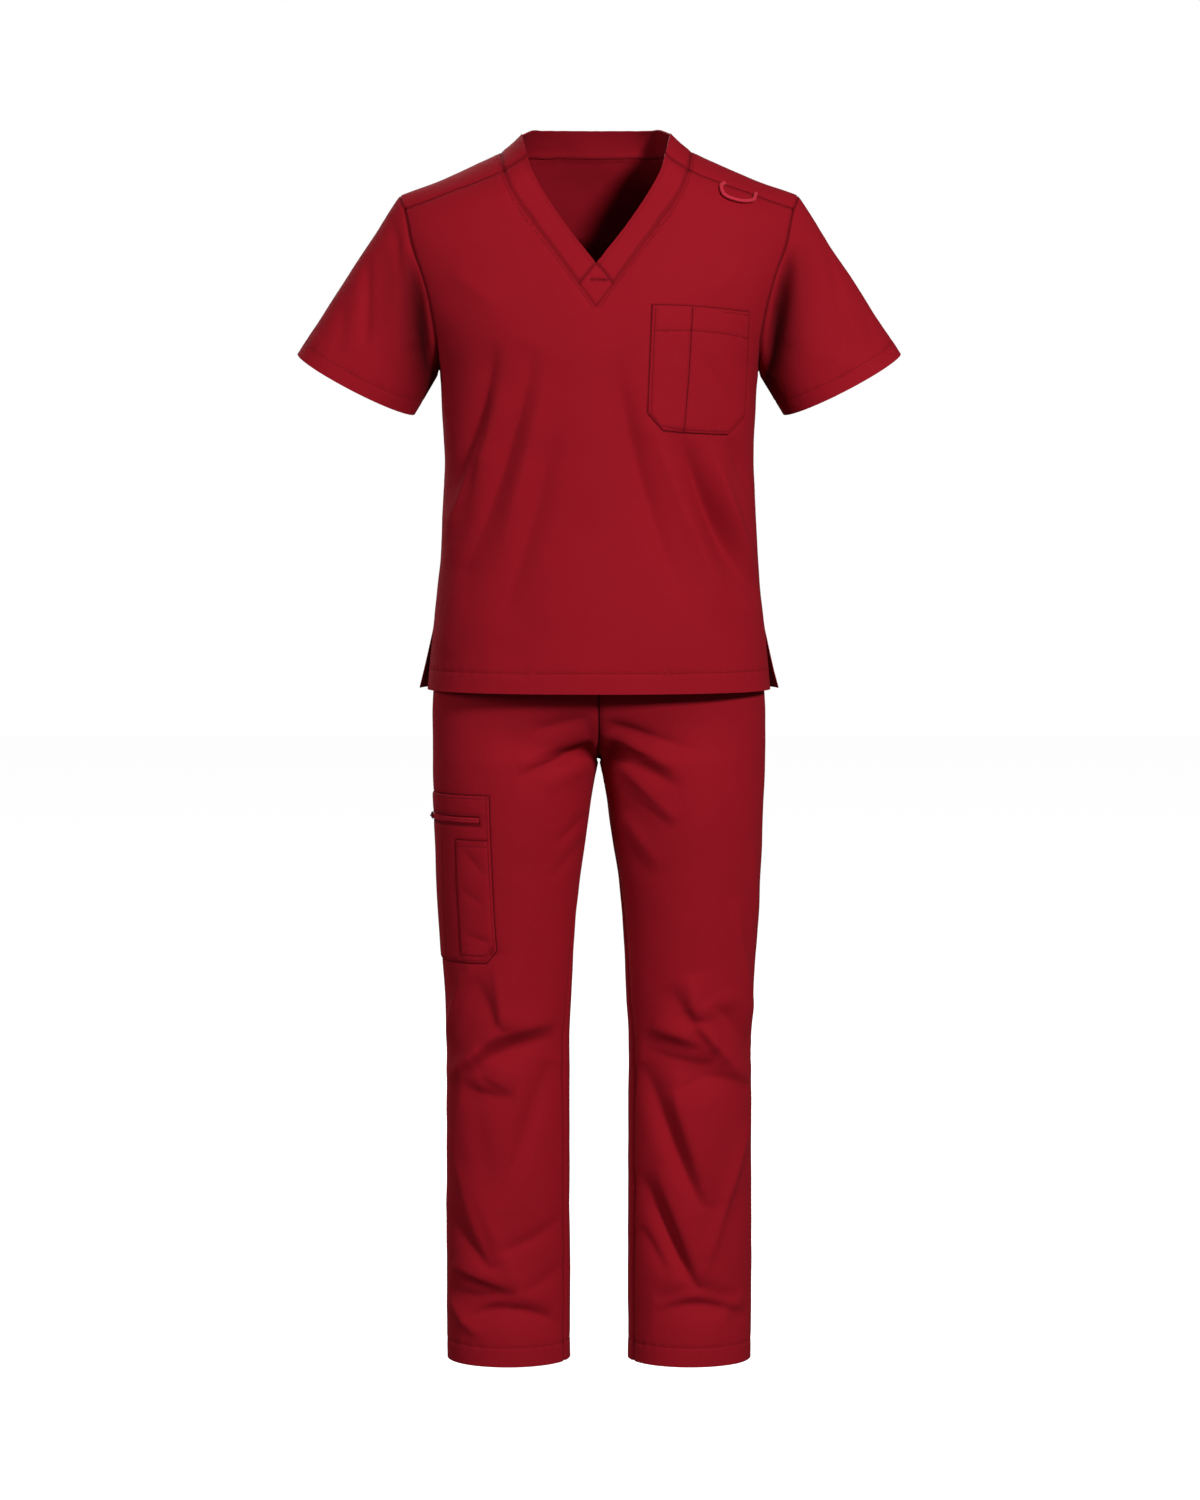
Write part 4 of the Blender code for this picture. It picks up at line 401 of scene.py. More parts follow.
# columns as above; the shade in these tucks by the armpits is painted on the cloth
SLEEVE_TUCKS = (
    (-239, 1428, -202, 1185, 11, 25, 1, 1.1, 0, -0.5),
    (242, 1423, 202, 1185, 11, 25, 1, 1.1, 0, -0.5))
TOP_BACK_CREASES = (
    (-185, 1290, -120, 1225, 16, 8, -5, 0.8, 3, 0.3),
    (-180, 1305, -125, 1262, 12, 8, 3.5, 0.8, 3, 0.3),
    (188, 1285, 112, 1215, 16, 8, -5, 0.8, 3, 0.3),
    (180, 1302, 120, 1256, 12, 8, 3.5, 0.8, 3, 0.3),
    (-150, 1210, -186, 1020, 10, 14, -5, 0.9, 4, -0.4),
    (140, 1190, 182, 1010, 10, 14, -5, 0.9, 4, -0.4),
    (-90, 1240, -115, 1030, 12, 12, -3, 1, 0, -0.3),
    (70, 1210, 120, 990, 12, 12, -3, 1, 0, -0.3),
    (-75, 1438, 70, 1434, 10, 18, -3, 1, -6, 0),
    (-110, 1405, 115, 1400, 14, 14, 2, 1, -8, 0),
    (0, 1060, 18, 880, 14, 14, -3, 1, 3, -0.3),
    (-120, 990, -150, 880, 10, 10, -3, 1, 2, 0))
SLEEVE_BACK_CREASES = (
    (240, 1420, 232, 1300, 23, 11, -9.5, 0.9, 0, 0.2),
    (270, 1440, 300, 1300, 31, 16, -7.6, 0.8, 0, 0.2),
    (256, 1400, 266, 1280, 23, 11, 6.6, 1, 0, 0.2))
BACK_RIGHT_CREASES = (
    (-50, 440, -160, 422, 10, 5, -4.2, 1, 3, 0.2),
    (-70, 400, -170, 372, 10, 5, -3.8, 1, 3, 0.2),
    (-12, 788, -92, 771, 12, 6, -4.2, 0.8, 3, 0.2),
    (-80, 330, -148, 132, 12, 6, -4.2, 1.1, 3, 0.2),
    (-72, 100, -158, 80, 10, 5, -3.4, 1, 3, 0.2))
BACK_LEFT_CREASES = (
    (55, 430, 168, 404, 10, 5, -4.2, 1, 3, 0.2),
    (60, 388, 158, 378, 10, 5, -3.8, 1, 3, 0.2),
    (14, 793, 96, 764, 12, 6, -4.2, 0.8, 3, 0.2),
    (158, 318, 92, 142, 12, 6, -4.2, 1.1, 3, 0.2),
    (67, 85, 163, 103, 10, 5, -3.4, 1, 3, 0.2))

# ---- the scene's own sizes ----
FINE = 4.0 * MM     # spacing of the points on the cloth
PARTS = 5                  # fine steps in each of the seams' stations
PATCH_FINE = 0.8 * FINE
SLEEVE_STEPS = 34
# shares of the way down the sleeve, closer at the seam and at the cuff's stitching
SLEEVE_STOPS = np.unique(np.round([*np.linspace(0, 1, SLEEVE_STEPS + 1), 0.012, 0.988], 5))
SLEEVE_ROUND = 0.52           # flat width of a sleeve, for its weave
SLEEVE_LONG = 0.14            # and its length
WAIST_ROWS = 9                # rows of points up the waistband
LINE_POINTS = 3.0 * MM        # points along the lines of a patch
LINE_STEP = 0.6 * MM          # and along a sewn line, for its groove and shade
WELD = 0.04 * MM              # points of two sheets closer than this are one
SHEET_WALL = 1.1 * MM         # cloth as it shows at its edges
BAND_WALL = 2.0 * MM
PATCH_WALL = 0.9 * MM
PATCH_PROUD = 0.1 * MM        # outer face of a patch above its cloth's full height
PATCH_SWELL = 1.4 * MM        # how soon a patch rises away from its sewn edges
PATCH_ROW = 1.3 * MM          # row of points inside those edges
PATCH_DIP = 0.35 * MM         # groove of their stitching
TAPE_LIFT = PATCH_LIFT - PATCH_CLOTH + 0.1 * MM      # the zip's tapes lie in the pocket
THREAD_RISE = 0.05 * MM       # stitches above the cloth
ROW_SET = 1.4 * MM            # rows of points each side of a sewn line
SEAM_DIP = 1.3 * MM
SEAM_WIDE = 1.9 * MM
SEAM_LINE = 0.95 * MM         # half width of the shade painted down a seam
SEAM_FADE = 0.012             # a sleeve's folds start this far from the armhole
STITCH_DIP = 0.7 * MM
STITCH_WIDE = 1.3 * MM
STITCH_PITCH = 3.3 * MM
STITCH_LONG = 2.5 * MM
STITCH_RADIUS = 0.36 * MM
EDGE_STITCH = 2.4 * MM        # stitching beside the seams of the top
VENT_STITCH = 8.0 * MM        # beside the edges of the vents
LEG_STITCH = 2.6 * MM         # beside the inseams in front and the outseams behind
RISE_STITCH = 3.2 * MM        # beside the crotch seam
PATCH_STITCH = 3.0 * MM       # beside the edges of the pockets
ZIP_STITCH = 2.6 * MM         # round the zip's window
TOP_HEM_POINTS = 130          # points along the hems' stitching
LEG_HEM_POINTS = 60
BORDER_CLEAR = 0.7 * MM       # rows of points keep this far from a sheet's border
POINT_CLEAR = 0.8 * MM        # and from each other
EDGE_PUCKER = 0.15 * MM       # height of the cloth's waves along the stitching
LEG_PUCKER = 0.12 * MM
HEM_PUCKER = 0.35 * MM
CUFF_PUCKER = 0.3 * MM
BAND_PUCKER = 0.1 * MM
PATCH_PUCKER = 0.22 * MM
PUCKER_LONG = 17 * MM         # length of those waves
PUCKER_WIDE = 7 * MM          # and their reach each side
RIPPLE = 0.9 * MM             # uneven hand of the cloth
PATCH_RIPPLE = 0.5 * MM
RIPPLE_SCALES = (14, 31)      # broad and fine waves of that hand
MIDDLE_FADE = 4 * MM          # a leg's folds start this far from the middle
SLEEVE_FRONT_FADE = 30 * MM   # depth over which a sleeve's front folds end
SLEEVE_BACK_FADE = 50 * MM    # and its back creases begin
CROTCH_EASE = 16 * MM         # reach of the easing above and below the crotch
EDGE_DIP = 0.5 * MM           # the cloth sinks this far round a pocket
EDGE_SHADE = 0.9 * MM         # its painted shadow lies this far outside the pocket's edge
EDGE_ROWS = (-1.4 * MM, 0.0, EDGE_SHADE, 1.9 * MM, 3.0 * MM)
CREASE_SHARE = 1.4            # depth of the scene's creases against their table
FOLD_SHARE = 0.6              # of the solids' rounder folds, beside the creases
STITCH_SHADE = 0.16           # painted shade along a row of stitches, where a seam's is 1
INSIDE_PAINTED_SHADE = 0.13           # and painted shade on the inside faces of the cloth
SEAM_SHADE = 0.12             # share of the cloth's colour left where the painted shade is 1
LOOP_SIDES = 14
LOOP_STOPS = 90
LOOP_LIFT = 1.8 * MM          # the middle of the badge loop stands this far off the cloth

# ---- camera, floor and light ----
CAMERA_PLACE = (0.00128, -6.0, -0.330)
CAMERA_TARGET = (0.00128, 0.0, -0.724)
LENS_MM = 112.75
SENSOR_MM = 36
FLOOR_Z = -0.085              # the floor lies a little below the trouser hems
FLOOR_HALF = 14.0
LIT_MIDDLE = (0.0, 0.0, -0.70)
SKY_LIGHT = 0.09              # strength of the sky that lights the set


# ---------------------------------------------------------------- reading the tables
def smooth(table, column, at):
    """Read a table's column at any height, with an even curve through its rows."""
    rows = np.array(table, float)
    rows = rows[np.argsort(rows[:, 0])]
    x = rows[:, 0]
    y = rows[:, column]
    h = np.diff(x)
    slope = np.diff(y) / h
    tangent = np.zeros(len(x))
    tangent[0] = slope[0]
    tangent[-1] = slope[-1]
    for i in range(1, len(x) - 1):
        if slope[i - 1] * slope[i] > 0:
            w1 = 2 * h[i] + h[i - 1]
            w2 = h[i] + 2 * h[i - 1]
            tangent[i] = (w1 + w2) / (w1 / slope[i - 1] + w2 / slope[i])
    at = np.asarray(at, float)
    i = np.clip(np.searchsorted(x, at) - 1, 0, len(x) - 2)
    t = np.clip((at - x[i]) / h[i], 0, 1)
    a = y[i] * (1 + 2 * t) * (1 - t) ** 2 + y[i + 1] * t * t * (3 - 2 * t)
    return a + h[i] * (tangent[i] * t * (1 - t) ** 2 - tangent[i + 1] * t * t * (1 - t))


def run_of(points):
    """Distance along a line of points, at each of them."""
    return np.concatenate([[0], np.cumsum(np.linalg.norm(np.diff(points, axis=0), axis=1))])


def on_curve(rows, at):
    """Places at distances along a smooth line through the rows."""
    table = np.column_stack([run_of(rows), rows])
    return np.stack([smooth(table, k + 1, at) for k in range(rows.shape[1])], -1)


def on_line(rows, far, at):
    """Places at distances along the straight stretches between the rows."""
    return np.stack([np.interp(at, far, rows[:, k]) for k in range(3)], -1)


def line_through(corners, step=LINE_POINTS):
    """Even stations along the straight stretches between corners."""
    corners = np.array(corners, float)
    line = []
    for a, b in zip(corners[:-1], corners[1:]):
        count = max(1, int(round(np.linalg.norm(b - a) / step)))
        line += [tuple(a + (b - a) * i / count) for i in range(count)]
    return [*line, tuple(corners[-1])]


def closed_line(corners, step=LINE_POINTS):
    return line_through([*corners, corners[0]], step)


def refine(stations, parts):
    """The same stations with even fine steps between them, on a smooth line."""
    rows = np.array(stations, float)
    far = run_of(rows)
    at = [a + (b - a) * i / parts for a, b in zip(far[:-1], far[1:]) for i in range(parts)]
    fine = on_curve(rows, [*at, far[-1]])
    fine[::parts] = rows
    return [tuple(p) for p in fine]


def offset(line, by):
    """The line moved sideways: to its left, seen along it, where by is positive."""
    rows = np.array(line, float)
    ahead = np.gradient(rows, axis=0)
    ahead /= np.maximum(np.linalg.norm(ahead, axis=1), 1e-12)[:, None]
    left = np.stack([-ahead[:, 1], ahead[:, 0]], -1)
    return rows + left * by


def inside_polygon(points, polygon):
    """True for each flat point inside the closed polygon."""
    points = np.asarray(points, float)
    polygon = np.asarray(polygon, float)
    inside = np.zeros(len(points), bool)
    j = len(polygon) - 1
    for i in range(len(polygon)):
        xi, yi = polygon[i]
        xj, yj = polygon[j]
        if yi != yj:
            crosses = (yi > points[:, 1]) != (yj > points[:, 1])
            at = (xj - xi) * (points[:, 1] - yi) / (yj - yi) + xi
            inside ^= crosses & (points[:, 0] < at)
        j = i
    return inside


def inset(line, outline, by):
    """A border line moved in, onto the cloth inside the outline."""
    trial = offset(line, 1.2 * MM)
    inside = inside_polygon(trial[1:-1] if len(trial) > 2 else trial, outline)
    return offset(line, by if inside.mean() > 0.5 else -by)


def to_segments(points, line):
    """Distance of flat points from a line of segments."""
    best = np.full(len(points), 1e9)
    for a, b in zip(line[:-1], line[1:]):
        ab = b - a
        t = np.clip(((points - a) @ ab) / max(ab @ ab, 1e-15), 0, 1)
        best = np.minimum(best, np.linalg.norm(points - (a + t[:, None] * ab), axis=1))
    return best


def tree_of(points):
    """Search tree over places in space or on flat cloth."""
    tree = kdtree.KDTree(max(1, len(points)))
    for k, p in enumerate(points):
        tree.insert((*p, 0)[:3], k)
    tree.balance()
    return tree


# ---------------------------------------------------------------- the top's surface
def off_neck(x):
    """Distance from the neck's own centre, which fades to the middle at the shoulders."""
    fade = np.clip(1 - (np.abs(x) / NECK_FADE) ** 2, 0, 1)
    return np.abs(x - NECK_SHIFT * fade)


def ridge(x):
    return smooth(RIDGE, 1, off_neck(x))


def roll_drop(arc, radius):
    """Height fallen after going this far over the shoulder's roll."""
    quarter = radius * math.pi / 2
    return np.where(arc < quarter, radius * (1 - np.cos(np.minimum(arc, quarter) / radius)),
                    radius + arc - quarter)


def roll_arc(drop, radius):
    """The reverse of roll_drop."""
    bent = radius * np.arccos(np.clip(1 - drop / radius, -1, 1))
    return np.where(drop < radius, bent, radius * math.pi / 2 + drop - radius)


def body_point(flat, arc):
    """Top's surface at a flat distance from the middle and an arc from the ridge."""
    flat = np.asarray(flat, float)
    arc = np.asarray(arc, float)
    back = arc > 0
    radius = np.where(back, BACK_ROLL, FRONT_ROLL)
    turn = np.clip(flat / FLAT_HALF, -1, 1) * math.pi / 2
    across = np.sign(turn) * np.abs(np.sin(turn)) ** (2 / SQUARENESS)
    deep = np.abs(np.cos(turn)) ** (2 / SQUARENESS)
    drop = roll_drop(np.abs(arc), radius)
    x = across * START_HALF
    for _ in range(25):
        z = ridge(x) - drop
        half = np.where(back, smooth(TORSO, 2, z), smooth(TORSO, 1, z))
        x = across * half
    z = ridge(x) - drop
    depth = np.where(back, smooth(TORSO, 4, z), smooth(TORSO, 3, z))
    rolled = np.sin(np.minimum(np.abs(arc) / radius, math.pi / 2))
    y = np.where(back, 1.0, -1.0) * depth * deep * rolled
    return np.stack([x, y, z], -1)


def body_flat(x, z, back):
    """Flat place on the top of a point seen at x, z."""
    x = np.asarray(x, float)
    z = np.asarray(z, float)
    half = smooth(TORSO, 2 if back else 1, z)
    share = np.clip(np.abs(x) / half, 0, 1) ** (SQUARENESS / 2)
    flat = np.sign(x) * np.arcsin(share) / (math.pi / 2) * FLAT_HALF
    radius = BACK_ROLL if back else FRONT_ROLL
    arc = roll_arc(np.maximum(ridge(x) - z, 0), radius)
    return np.stack([flat, arc if back else -arc], -1)


def at_body(line):
    rows = np.array(line, float)
    return body_point(rows[:, 0], rows[:, 1])


def arc_at(x, z, back):
    """Arc from the ridge down to a place seen at x, z; positive behind the ridge."""
    arc = float(roll_arc(np.array(float(ridge(x)) - z), BACK_ROLL if back else FRONT_ROLL))
    return arc if back else -arc


def flat_from_arc(x, arc):
    """Flat place at x and at an arc from the ridge."""
    drop = roll_drop(np.array(abs(arc)), BACK_ROLL if arc > 0 else FRONT_ROLL)
    return float(body_flat(x, ridge(x) - drop, arc > 0)[0]), arc


def at_height(flat, z, back):
    """Flat place straight below a flat distance, at a given height."""
    turn = flat / FLAT_HALF * math.pi / 2
    across = math.copysign(abs(math.sin(turn)) ** (2 / SQUARENESS), turn)
    return flat, arc_at(across * float(smooth(TORSO, 2 if back else 1, z)), z, back)


def mirror_places(stations):
    return [(-u, v) for u, v in stations]


def both_sides(line):
    return [line, mirror_places(line)]


def armhole_stations(back):
    """Flat places down one armhole, from the ridge to the armpit."""
    line = []
    for arc in ARMHOLE_ARCS_BACK if back else ARMHOLE_ARCS_FRONT:
        drop = float(roll_drop(np.array(arc), BACK_ROLL if back else FRONT_ROLL))
        x = START_HALF
        for _ in range(60):
            x = 0.5 * x + 0.5 * float(smooth(ARMHOLE, 1, float(ridge(x)) - drop))
        line.append(flat_from_arc(x, arc if back else -arc))
    return [*line, (FLAT_HALF, arc_at(ARMPIT_REACH, ARMPIT_Z, back))]


def side_stations(back):
    """Flat places down one side seam from the armpit to the vent, then along the vent."""
    def edge(column, high, low, stops, set_in):
        line = []
        for i in range(stops + 1):
            z = high + (low - high) * i / stops
            half = float(smooth(TORSO, column, z))
            line.append((FLAT_HALF - set_in * i / stops, arc_at(half, z, back)))
        return line

    column, set_in = (2, VENT_BACK_SET) if back else (1, VENT_FRONT_SET)
    vent = edge(column, VENT_TOP_Z, HEM_Z, VENT_STOPS, set_in)
    return edge(1, ARMPIT_Z, VENT_TOP_Z, SIDE_STOPS, 0.0), vent[1:]


def shoulder_place(x, reach):
    """Flat place of the shoulder seam at x, by its drop below the ridge."""
    return tuple(body_flat(x, ridge(x) - float(smooth(SHOULDER_SEAM, 1, reach)), False))


def band_corner(sign, outer):
    """Where the shoulder seam crosses the band's outer or inner line."""
    reach = BAND_SEAM_REACH if outer else BAND_EDGE_REACH
    return shoulder_place(sign * reach + NECK_SHIFT, reach)


def band_line(table, stops):
    """One of the band's lines seen from the front, from the neck's centre."""
    return [(float(smooth(table, 1, z)), z) for z in stops]


def neck_places(sign):
    """Flat places of the band seam on the front, from the point up to the shoulder seam."""
    outer = band_line(BAND_SEAM, BAND_SEAM_STOPS)
    low = np.array([0.0, NECK_POINT_Z])
    rise = np.array(outer[0]) - low
    seen = [tuple(low + rise * i / BAND_COLUMNS) for i in range(BAND_COLUMNS)] + outer
    flats = [tuple(body_flat(sign * x + NECK_SHIFT, z, False)) for x, z in seen]
    return flats + [band_corner(sign, True)]


def back_neck_places(edge):
    """Flat places of the band's line behind the shoulder seams, wearer's left to right."""
    table = BACK_EDGE if edge else BACK_SEAM
    corner = BAND_EDGE_REACH if edge else BAND_SEAM_REACH
    front_arc = float(roll_arc(smooth(SHOULDER_SEAM, 1, corner), FRONT_ROLL))
    half = [(corner + (table[0][0] - corner) * math.sin(share * math.pi / 2),
             -front_arc * (1 - share)) for share in BEHIND_SHARES]
    for x in (*(BACK_EDGE_STOPS if edge else BACK_SEAM_STOPS), 0.0):
        drop = max(float(smooth(RIDGE, 1, x)) - float(smooth(table, 1, x)), 0.0)
        half.append((x, float(roll_arc(np.array(drop), BACK_ROLL))))
    left = [flat_from_arc(NECK_SHIFT + x, arc) for x, arc in half]
    right = [flat_from_arc(NECK_SHIFT - x, arc) for x, arc in half[:-1]]
    return left + right[::-1]


def cuff_ring(arm, front_count, sign):
    """Places round the cuff that answer the places round the armhole."""
    far = run_of(np.concatenate([arm, arm[:1]]))
    turn = np.interp(far[:-1], [0, far[front_count - 1], far[-1]], [0, math.pi, 2 * math.pi])
    tilt = math.radians(CUFF_TILT_DEG)
    outward = np.array([sign * math.cos(tilt), 0, math.sin(tilt)])
    axis = np.array([sign * math.sin(tilt), 0, -math.cos(tilt)])
    ahead = np.array([0, -1.0, 0])
    centre = np.array([sign * CUFF_CENTRE_X, 0, CUFF_CENTRE_Z])
    return (centre + CUFF_HALF * np.cos(turn)[:, None] * outward
            + CUFF_DEPTH * np.sin(turn)[:, None] * ahead
            + CUFF_FRONT_DROP * np.sin(turn)[:, None] * axis)


# ---------------------------------------------------------------- the legs' surface
def leg_point(round_share, level):
    """Right-hand-side leg: 0 to 1 runs from the inner line to the outseam in front,
    1 to 2 back to the inner line behind. Level 0 is the crotch, positive goes up."""
    u = np.asarray(round_share, float)
    v = np.asarray(level, float)
    quarter = CROTCH_RISE * math.pi / 2
    bend = np.clip(v, 0, quarter) / CROTCH_RISE
    curved = CROTCH_RISE * (1 - np.cos(bend))
    straight = CROTCH_RISE * bend / (math.pi / 2)
    side = np.sin(np.clip(np.minimum(u, 2 - u), 0, 1) * math.pi / 2)
    rise = curved + (straight - curved) * side + np.maximum(v - quarter, 0)
    z = CROTCH_Z + np.where(v < 0, v, rise)
    weight = np.where(v > 0, np.sin(bend), 0.0)
    outer = smooth(LEG, 1, z)
    inner = smooth(LEG, 2, z)
    middle = (outer + inner) / 2
    half = (outer - inner) / 2
    turned = math.radians(INSEAM_TURN_DEG) * np.clip((CROTCH_Z - z) / (CROTCH_Z - INSEAM_TURN_Z),
                                                     0, 1)
    angle = np.where(u < 1, turned + u * (math.pi - turned),
                     math.pi + (u - 1) * (math.pi + turned))
    ahead = np.sin(angle)
    depth = np.where(ahead > 0, smooth(LEG, 3, z), smooth(LEG, 4, z))
    leg_x = middle - half * np.cos(angle)
    leg_y = -depth * ahead
    hip_angle = u * math.pi / 2
    power = 2 / HIP_SQUARENESS
    hip_x = smooth(HIPS, 1, z) * np.abs(np.sin(hip_angle)) ** power
    hip_depth = np.where(u < 1, smooth(HIPS, 2, z), smooth(HIPS, 3, z))
    hip_y = -np.sign(np.cos(hip_angle)) * np.abs(np.cos(hip_angle)) ** power * hip_depth
    x = leg_x + (hip_x - leg_x) * weight
    y = leg_y + (hip_y - leg_y) * weight
    on_middle = (v > 0) & ((u < NUDGE) | (u > 2 - NUDGE))
    x = np.where(on_middle, 0.0, x)
    return np.stack([x, y, z], -1)


TOP_LEVEL = CROTCH_RISE * math.pi / 2 + (WAIST_SEAM_Z - CROTCH_Z - CROTCH_RISE)
HEM_LEVEL = LEG_HEM_Z - CROTCH_Z
LEVELS = np.linspace(HEM_LEVEL, TOP_LEVEL, 90)


def half_round(level):
    """Length round the leg from the inner line to the outseam at each level, front, back."""
    level = np.asarray(level, float)
    share = np.linspace(0, 1, 33)
    out = []
    for start in (0.0, 1.0):
        u, v = np.meshgrid(share + start, LEVELS)
        ring = leg_point(np.clip(u, 0, 2), v)
        length = np.linalg.norm(np.diff(ring, axis=1), axis=2).sum(1)
        out.append(np.interp(level, LEVELS, length))
    return out


def leg_from_flat(flat, level):
    """Surface at a distance round from the outseam (negative ahead of it) and a level."""
    front, back = half_round(level)
    reach = np.where(flat < 0, front, back)
    share = np.clip(1 + flat / reach, 0, 2)
    return leg_point(share, level)


def at_leg(line, sign):
    rows = np.array(line, float)
    return leg_from_flat(rows[:, 0], rows[:, 1]) * [sign, 1, 1]


def at_right_leg(line):
    return at_leg(line, -1)


def rectangle(front, back, top, bottom, cut=0.0, back_cut=0.0, lean=0.0, back_lean=0.0):
    """Flat corners of a patch with cut lower corners, from heights; its sides may lean."""
    top = top - CROTCH_Z
    bottom = bottom - CROTCH_Z
    low_front = lean - front
    low_back = back + back_lean
    corners = [(-front, top), (low_front, bottom + cut)]
    if cut:
        corners.append((low_front + cut, bottom))
    if back_cut:
        corners.append((low_back - back_cut, bottom))
    return corners + [(low_back, bottom + back_cut), (back, top)]


CARGO = rectangle(POCKET_FRONT, POCKET_BACK, POCKET_TOP, POCKET_BOTTOM, POCKET_CHAMFER,
                  POCKET_CHAMFER, POCKET_LEAN)
PEN = rectangle(PEN_FRONT, -PEN_BACK, PEN_TOP, PEN_BOTTOM, PEN_CHAMFER, 0.0, PEN_LEAN, PEN_LEAN)


def zip_rectangle(grown):
    """Outline of the zip's window, grown on all sides."""
    return rectangle(ZIP_FRONT + grown, ZIP_BACK + grown, ZIP_Z + ZIP_HALF + grown,
                     ZIP_Z - ZIP_HALF - grown)


# ---------------------------------------------------------------- folds
def along_row(x, z, ends, lean):
    """Share of the way along a fold's line and its swell there, and the distance above it."""
    x0, z0, x1, z1 = (MM * v for v in ends)
    dx = x1 - x0
    dz = z1 - z0
    length = math.hypot(dx, dz)
    along = np.clip(((x - x0) * dx + (z - z0) * dz) / length ** 2, 0, 1) ** lean
    above = ((z - z0) * dx - (x - x0) * dz) / length * (1 if dx >= 0 else -1)
    return along, np.clip(4 * along * (1 - along), 0, 1) ** 0.7, above


def fold_height(x, z, rows):
    """Sum of the folds of one of the solids' tables at points seen from the front."""
    total = np.zeros(np.shape(x))
    for *ends, width, height, lean in rows:
        _, swell, above = along_row(x, z, ends, lean)
        total += height * MM * swell * np.exp(-(above / (width * MM)) ** 2)
    return total


def crease_height(x, z, rows, fade=1.0):
    """Sum of the scene's creases: steeper on one side, tapered to a point at an end."""
    total = np.zeros(np.shape(x))
    for *ends, up, down, height, lean, bow, taper in rows:
        along, swell, above = along_row(x, z, ends, lean)
        above = above - bow * MM * 4 * along * (1 - along)
        wide = np.where(above > 0, up * MM, down * MM) * (1 - taper * (along - 0.5))
        total += height * MM * swell ** fade * np.exp(-np.abs(above / wide) ** 1.5)
    return total


# columns: the solid's folds, the scene's creases, side (1 behind), depth at which they are
# whole, the wearer's side (1 left, -1 right, 0 both), and how soon the ends fade
TOP_TABLE = ((TOP_FRONT_FOLDS, TOP_FRONT_CREASES, -1, 0.05, 0, 1.8),
             (TOP_BACK_FOLDS, TOP_BACK_CREASES, 1, 0.05, 0, 1.8))
LEG_TABLE = ((LEG_FRONT_FOLDS_RIGHT, LEG_RIGHT_CREASES, -1, 0.025, -1, 1.0),
             (LEG_FRONT_FOLDS_LEFT, LEG_LEFT_CREASES, -1, 0.025, 1, 1.0),
             (LEG_BACK_FOLDS_RIGHT, BACK_RIGHT_CREASES, 1, 0.025, -1, 1.0),
             (LEG_BACK_FOLDS_LEFT, BACK_LEFT_CREASES, 1, 0.025, 1, 1.0))


def fold(garment, table):
    """Height of all of a garment's folds and creases on its smooth skin."""
    x, y, z = garment.skin.T
    height = np.zeros(len(x))
    for folds, creases, side, reach, wearers, fade in table:
        mask = np.clip(side * y / reach, 0, 1)
        if wearers:
            mask = mask * np.clip(wearers * x / MIDDLE_FADE, 0, 1)
        height += (fold_height(x, z, folds) * FOLD_SHARE
                   + crease_height(x, z, creases, fade) * CREASE_SHARE) * mask
    return height


# ---------------------------------------------------------------- sheets
def triangulate(outline, rows, step, hole=None):
    """Fill a flat outline with even triangles that take in the rows of points inside it."""
    borders = [np.array(border, float) for border in (outline, hole) if border is not None]
    fixed = []
    edges = []
    for border in borders:
        first = len(fixed)
        fixed += [tuple(p) for p in border]
        edges += [(first + k, first + (k + 1) % len(border)) for k in range(len(border))]

    def on_cloth(points):
        ok = inside_polygon(points, borders[0])
        for gap in borders[1:]:
            ok &= ~inside_polygon(points, gap)
        return ok

    def clear(points, by):
        """True for each point that is further than this from every border."""
        return np.all([to_segments(points, np.concatenate([border, border[:1]])) > by
                       for border in borders], axis=0)

    for row in rows:
        row = np.array(row, float)
        if not len(row):
            continue
        row = row[on_cloth(row) & clear(row, BORDER_CLEAR)]
        tree = tree_of(fixed)
        fixed += [tuple(p) for p in row if tree.find((*p, 0))[2] > POINT_CLEAR]
    low = borders[0].min(0)
    high = borders[0].max(0)
    rise = step * 0.866
    uu, vv = np.meshgrid(np.arange(int((high[0] - low[0]) / step) + 2),
                         np.arange(int((high[1] - low[1]) / rise) + 2))
    grid = np.stack([low[0] + (uu + 0.5 * (vv % 2)) * step, low[1] + vv * rise], -1)
    grid = grid.reshape(-1, 2)
    grid = grid[inside_polygon(grid, borders[0])]
    tree = tree_of(fixed)
    points = fixed + [tuple(p) for p in grid[clear(grid, 0.4 * step)]
                      if tree.find((*p, 0))[2] > 0.66 * step]
    verts, _, faces, origin, _, _ = delaunay_2d_cdt(
        [Vector(p) for p in points], edges, [list(range(len(borders[0])))], 1, 1e-7, True)
    flat = np.array([points[ids[0]] if ids else tuple(v) for v, ids in zip(verts, origin)])
    tris = np.array([f for f in faces if len(f) == 3])
    a, b, c = (flat[tris[:, k]] for k in range(3))
    area = (b[:, 0] - a[:, 0]) * (c[:, 1] - a[:, 1]) - (c[:, 0] - a[:, 0]) * (b[:, 1] - a[:, 1])
    kept = on_cloth((a + b + c) / 3) & (np.abs(area) > 1e-11)
    tris[area < 0] = tris[area < 0][:, ::-1]
    return flat, tris[kept]


def grid_faces(rows, columns, flip=False, ring=False):
    """Two triangles for every cell of a grid of rows by columns of points."""
    out = []
    for i in range(rows - 1):
        for j in range(columns if ring else columns - 1):
            a = i * columns + j
            b = i * columns + (j + 1) % columns
            c = b + columns
            d = a + columns
            pair = [[a, b, c], [a, c, d]] if (i + j) % 2 == 0 else [[a, b, d], [b, c, d]]
            out += [t[::-1] if flip else t for t in pair]
    return np.array(out)


